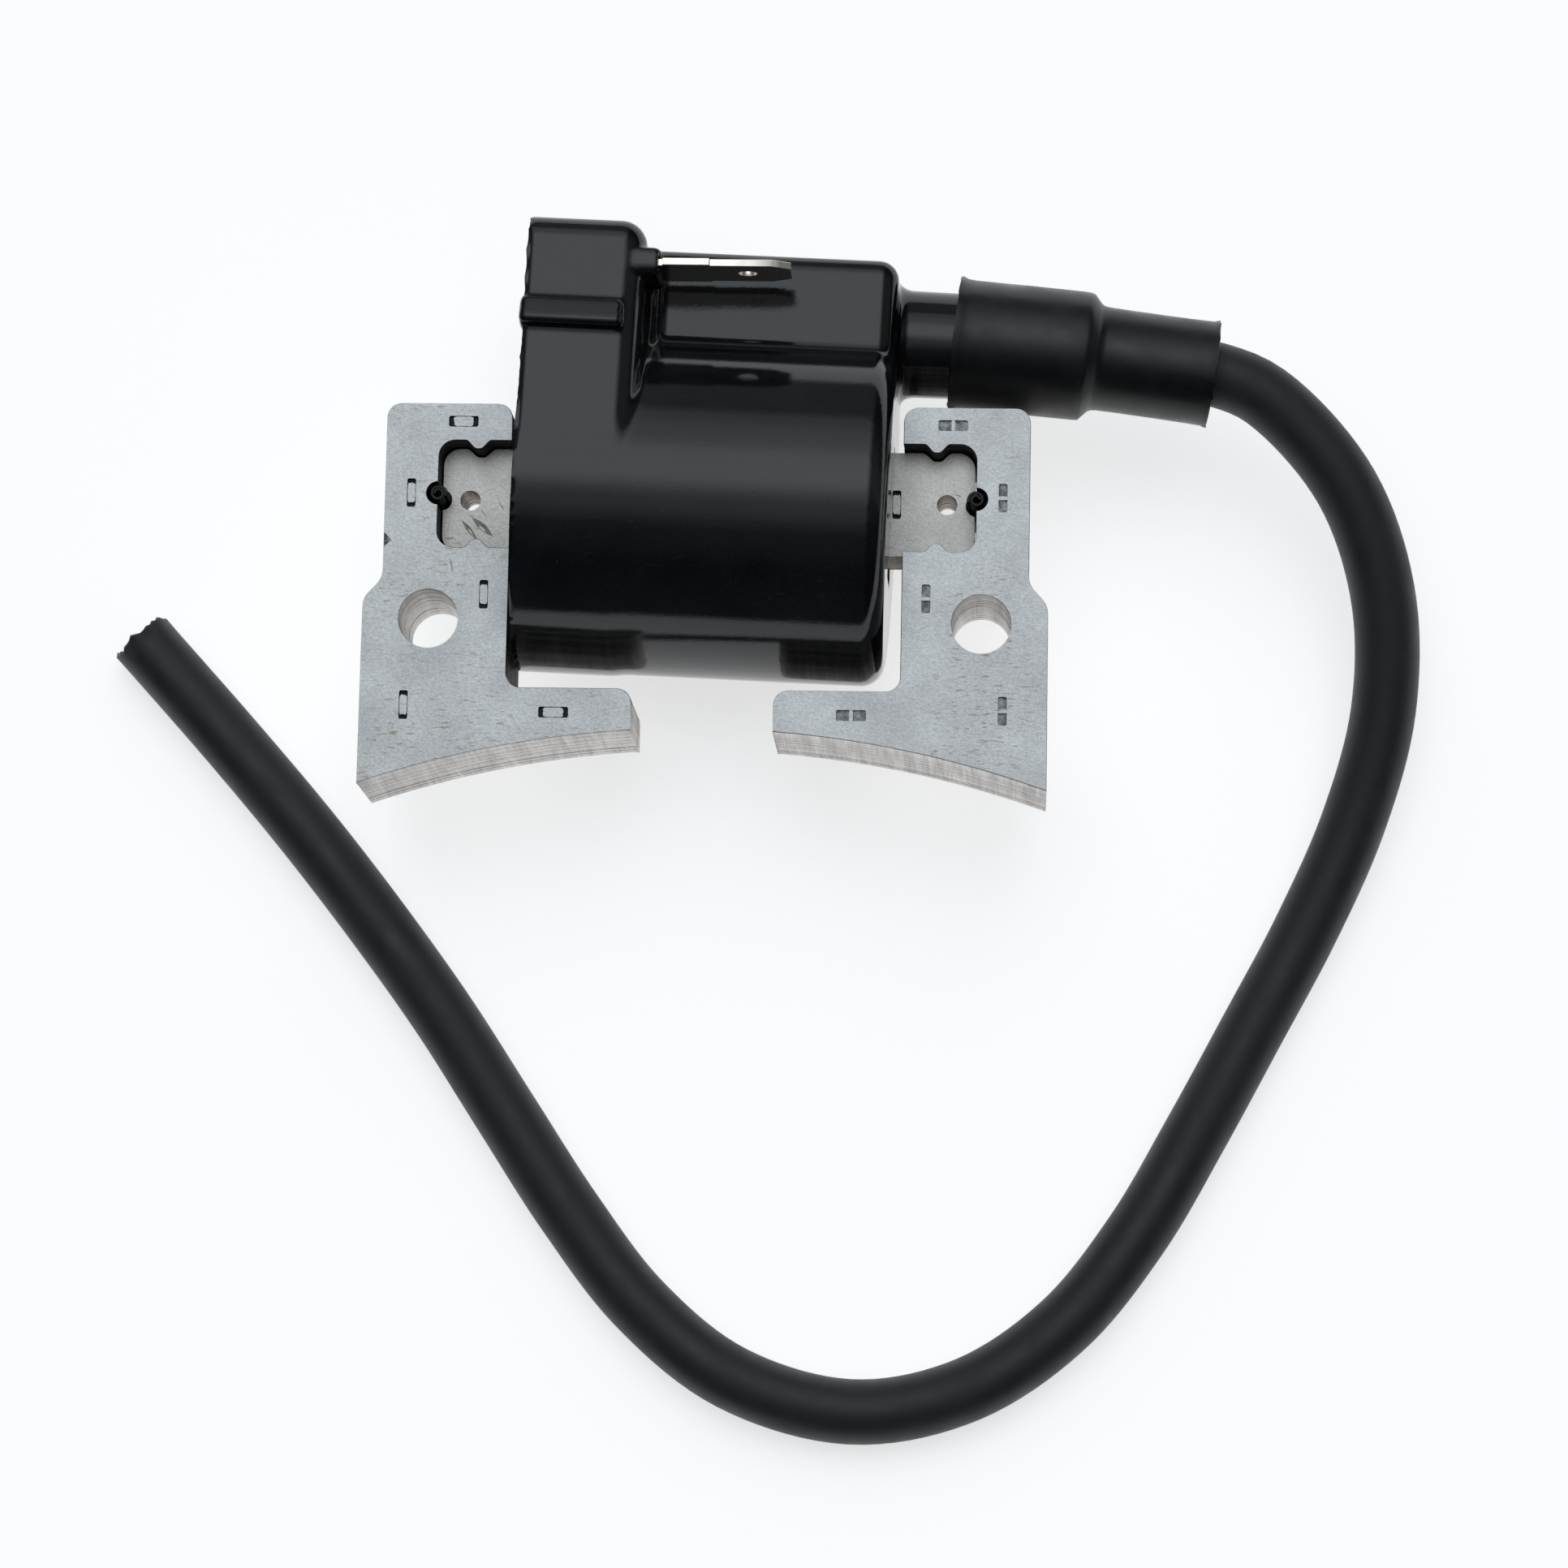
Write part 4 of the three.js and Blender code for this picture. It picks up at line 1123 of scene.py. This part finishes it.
def core(materials):
    holes = [arc(x, CORE_MID_Y, 1.1, 0, 360, 24)[:-1] for x in (-26.1, 26.1)]
    dents = [interlock(-20.3, CORE_MID_Y, 90), interlock(20.6, CORE_MID_Y, 90)]
    dents += [
        gouge(leaf(-24.7, 10.9, 3.3, 0.75, -42), 0.16, (-0.12, -0.18)),
        gouge(leaf(-26.1, 10.5, 2.9, 0.5, -52), 0.13, (0.10, -0.12)),
        gouge(leaf(-24.6, 12.45, 1.2, 0.13, -52), 0.05, (0, 0)),
        gouge(leaf(-22.7, 13.3, 1.4, 0.10, -58), 0.04, (0, 0)),
        gouge(leaf(27.3, 14.9, 0.9, 0.12, -20), 0.05, (0, 0)),
    ]
    nodes = ["core_front_lamination", "core_lamination_stack", "core_back_lamination"]
    stacked(
        "core_bar",
        core_outline()[::-1],
        holes,
        dents,
        CORE_BACK_Z,
        CORE_FRONT_Z,
        materials,
        "core_steel",
        nodes,
        # the core's ends, down in the legs' pockets, get the near-black painted shade on their sides
        lambda x, y: abs(x) > 28.4,
        seed=23,
    )


def dress(material, *names):
    """Gives carried-over nodes their finish."""
    for name in names:
        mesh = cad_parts[name].data
        mesh.materials.clear()
        mesh.materials.append(material)


# ---- floor and light ----

# A long soft light overhead: brightness by the angle from straight up, towards +Y.
OVERHEAD_LIGHT = [
    (-90, 0.06),
    (-52, 0.03),
    (-28, 0.10),
    (-6, 0.55),
    (12, 1.70),
    (24, 1.65),
    (40, 1.00),
    (56, 0.62),
    (61, 0.24),
    (90, 0.20),
]
LIGHT_TINT = (0.90, 0.97, 1.03)


def floor_and_light():
    size = 3.0
    mesh = bpy.data.meshes.new("floor")
    steps = 6
    points = [
        ((i / steps - 0.5) * 2 * size, (j / steps - 0.5) * 2 * size, 0.0)
        for j in range(steps + 1)
        for i in range(steps + 1)
    ]
    row = steps + 1
    quads = [
        (j * row + i, j * row + i + 1, (j + 1) * row + i + 1, (j + 1) * row + i)
        for j in range(steps)
        for i in range(steps)
    ]
    mesh.from_pydata(points, [], quads)
    floor = bpy.data.objects.new("floor", mesh)
    bpy.context.scene.collection.objects.link(floor)
    n = Nodes("pale_floor")
    tone = n.noise(6, 2, 0.5)
    colour = n.mix(tone, (0.90, 0.90, 0.90), (0.92, 0.92, 0.92))
    n.shader.inputs["Emission Color"].default_value = (1.0, 1.0, 1.0, 1.0)
    mesh.materials.append(n.finish(colour, 0.9, Emission_Strength=0.66))

    world = bpy.data.worlds.new("light_tent")
    bpy.context.scene.world = world
    world.use_nodes = True
    tree = world.node_tree
    background = tree.nodes["Background"]
    direction = tree.nodes.new("ShaderNodeTexCoord")
    split = tree.nodes.new("ShaderNodeSeparateXYZ")
    tree.links.new(direction.outputs["Generated"], split.inputs[0])
    slope = tree.nodes.new("ShaderNodeMath")
    slope.operation = "ARCTAN2"
    tree.links.new(split.outputs["Y"], slope.inputs[0])
    tree.links.new(split.outputs["Z"], slope.inputs[1])
    share = tree.nodes.new("ShaderNodeMapRange")
    for socket, number in zip(range(1, 5), (-math.pi / 2, math.pi / 2, 0.0, 1.0)):
        share.inputs[socket].default_value = number
    tree.links.new(slope.outputs[0], share.inputs[0])
    ramp = tree.nodes.new("ShaderNodeValToRGB")
    ramp.color_ramp.interpolation = "EASE"
    brightest = max(level for _, level in OVERHEAD_LIGHT)
    while len(ramp.color_ramp.elements) < len(OVERHEAD_LIGHT):
        ramp.color_ramp.elements.new(0.5)
    for element, (degrees, level) in zip(ramp.color_ramp.elements, OVERHEAD_LIGHT):
        element.position = (degrees + 90) / 180
        element.color = [level / brightest * tint for tint in LIGHT_TINT] + [1.0]
    tree.links.new(share.outputs[0], ramp.inputs[0])
    tree.links.new(ramp.outputs[0], background.inputs["Color"])
    side = tree.nodes.new("ShaderNodeMath")
    side.operation = "ABSOLUTE"
    tree.links.new(split.outputs["X"], side.inputs[0])
    fall = tree.nodes.new("ShaderNodeMapRange")
    fall.interpolation_type = "SMOOTHSTEP"
    for socket, number in zip(range(1, 5), (0.20, 0.55, brightest, brightest * 0.12)):
        fall.inputs[socket].default_value = number
    tree.links.new(side.outputs[0], fall.inputs[0])
    tree.links.new(fall.outputs[0], background.inputs["Strength"])


# ---- everything, in order ----

make_camera()
lead_tones = (0.0205, 0.0216, 0.0238), (0.0320, 0.0336, 0.0364)
jacket_rubber = rubber("lead_rubber", *lead_tones, 0.44, 0.58, 3800, 0.22)
jacket, lead_line, lead_length = lead_jacket(jacket_rubber)
strands = lead_strands(lead_line, dark_metal("dark_strand", 0.05))
boot_tones = (0.0050, 0.0054, 0.0060), (0.0105, 0.0112, 0.0122)
boot = rubber_boot(rubber("boot_rubber", *boot_tones, 0.26, 0.44, 2600, 0.14))

# Near-black steel: painted shade in the deep pits, on the pocket walls, on the legs' sides towards the
# housing and on the core's ends.
pit_shade_steel = dark_metal("pit_shade_steel", 0.022)
# Steel mottled from near-black to grey: painted shade in the shallow pits and in the chip on the left leg.
pit_shade_mottle_tones = (0.015, 0.016, 0.017), (0.44, 0.45, 0.46), (0.05, 0.05, 0.05)
pit_shade_mottle = steel_face("pit_shade_mottled_steel", *pit_shade_mottle_tones, 0.6, 1500, 1500)
core_tones = (0.52, 0.50, 0.47), (0.80, 0.76, 0.715), (0.24, 0.20, 0.16)
legs(
    [
        steel_face("pole_face", (0.52, 0.525, 0.52), (0.80, 0.80, 0.785), (0.36, 0.29, 0.19), 0.8),
        steel_edge("pole_edge", (0.40, 0.38, 0.36), (0.95, 0.92, 0.89)),
        pit_shade_steel,
        pit_shade_mottle,
    ]
)
core(
    [
        steel_face("core_face", *core_tones, 0.8, 5200, 4200, 0.6),
        steel_edge("core_edge", (0.40, 0.36, 0.32), (0.62, 0.57, 0.52)),
        pit_shade_steel,
        pit_shade_mottle,
    ]
)
black_metal = dark_metal("blackened_spring_steel", 0.035)
for pin_side in ("left", "right"):
    spring_pin(pin_side, black_metal)

black_moulding = glossy_moulding()
housing(black_moulding)
mouth_flash(black_moulding)
tin = tin_plate()
blade(tin)

resin = plain_grained("cast_resin", (0.012, 0.012, 0.013), (0.03, 0.03, 0.031), 0.42)
dress(resin, "mouth_potting", "winding_potting")
dress(
    plain_grained("natural_bobbin_plastic", (0.50, 0.47, 0.38), (0.66, 0.62, 0.52), 0.45),
    "primary_bobbin",
    "secondary_bobbin",
)
dress(wound_wire("wound_copper", (0.30, 0.11, 0.05), (0.78, 0.38, 0.20), 0.6), "primary_winding")
fine_wire = wound_wire("fine_wound_copper", (0.20, 0.06, 0.03), (0.50, 0.20, 0.10), 0.12)
dress(fine_wire, *[f"secondary_winding_{i}" for i in range(1, 7)])
dress(plain_grained("copper_link", (0.55, 0.25, 0.12), (0.78, 0.42, 0.24), 0.3, 1.0), "high_tension_link")
dress(tin, "high_tension_spike", "ground_strap")
dress(plain_grained("board_laminate", (0.02, 0.14, 0.05), (0.04, 0.24, 0.09), 0.5), "circuit_board")
dress(
    plain_grained("component_epoxy", (0.012, 0.012, 0.014), (0.03, 0.03, 0.033), 0.5),
    "power_transistor",
    "driver_chip",
    "resistor",
    "diode",
)
dress(plain_grained("dipped_ceramic", (0.42, 0.26, 0.10), (0.60, 0.40, 0.18), 0.35), "capacitor")

floor_and_light()
bpy.context.scene.view_settings.view_transform = "Standard"
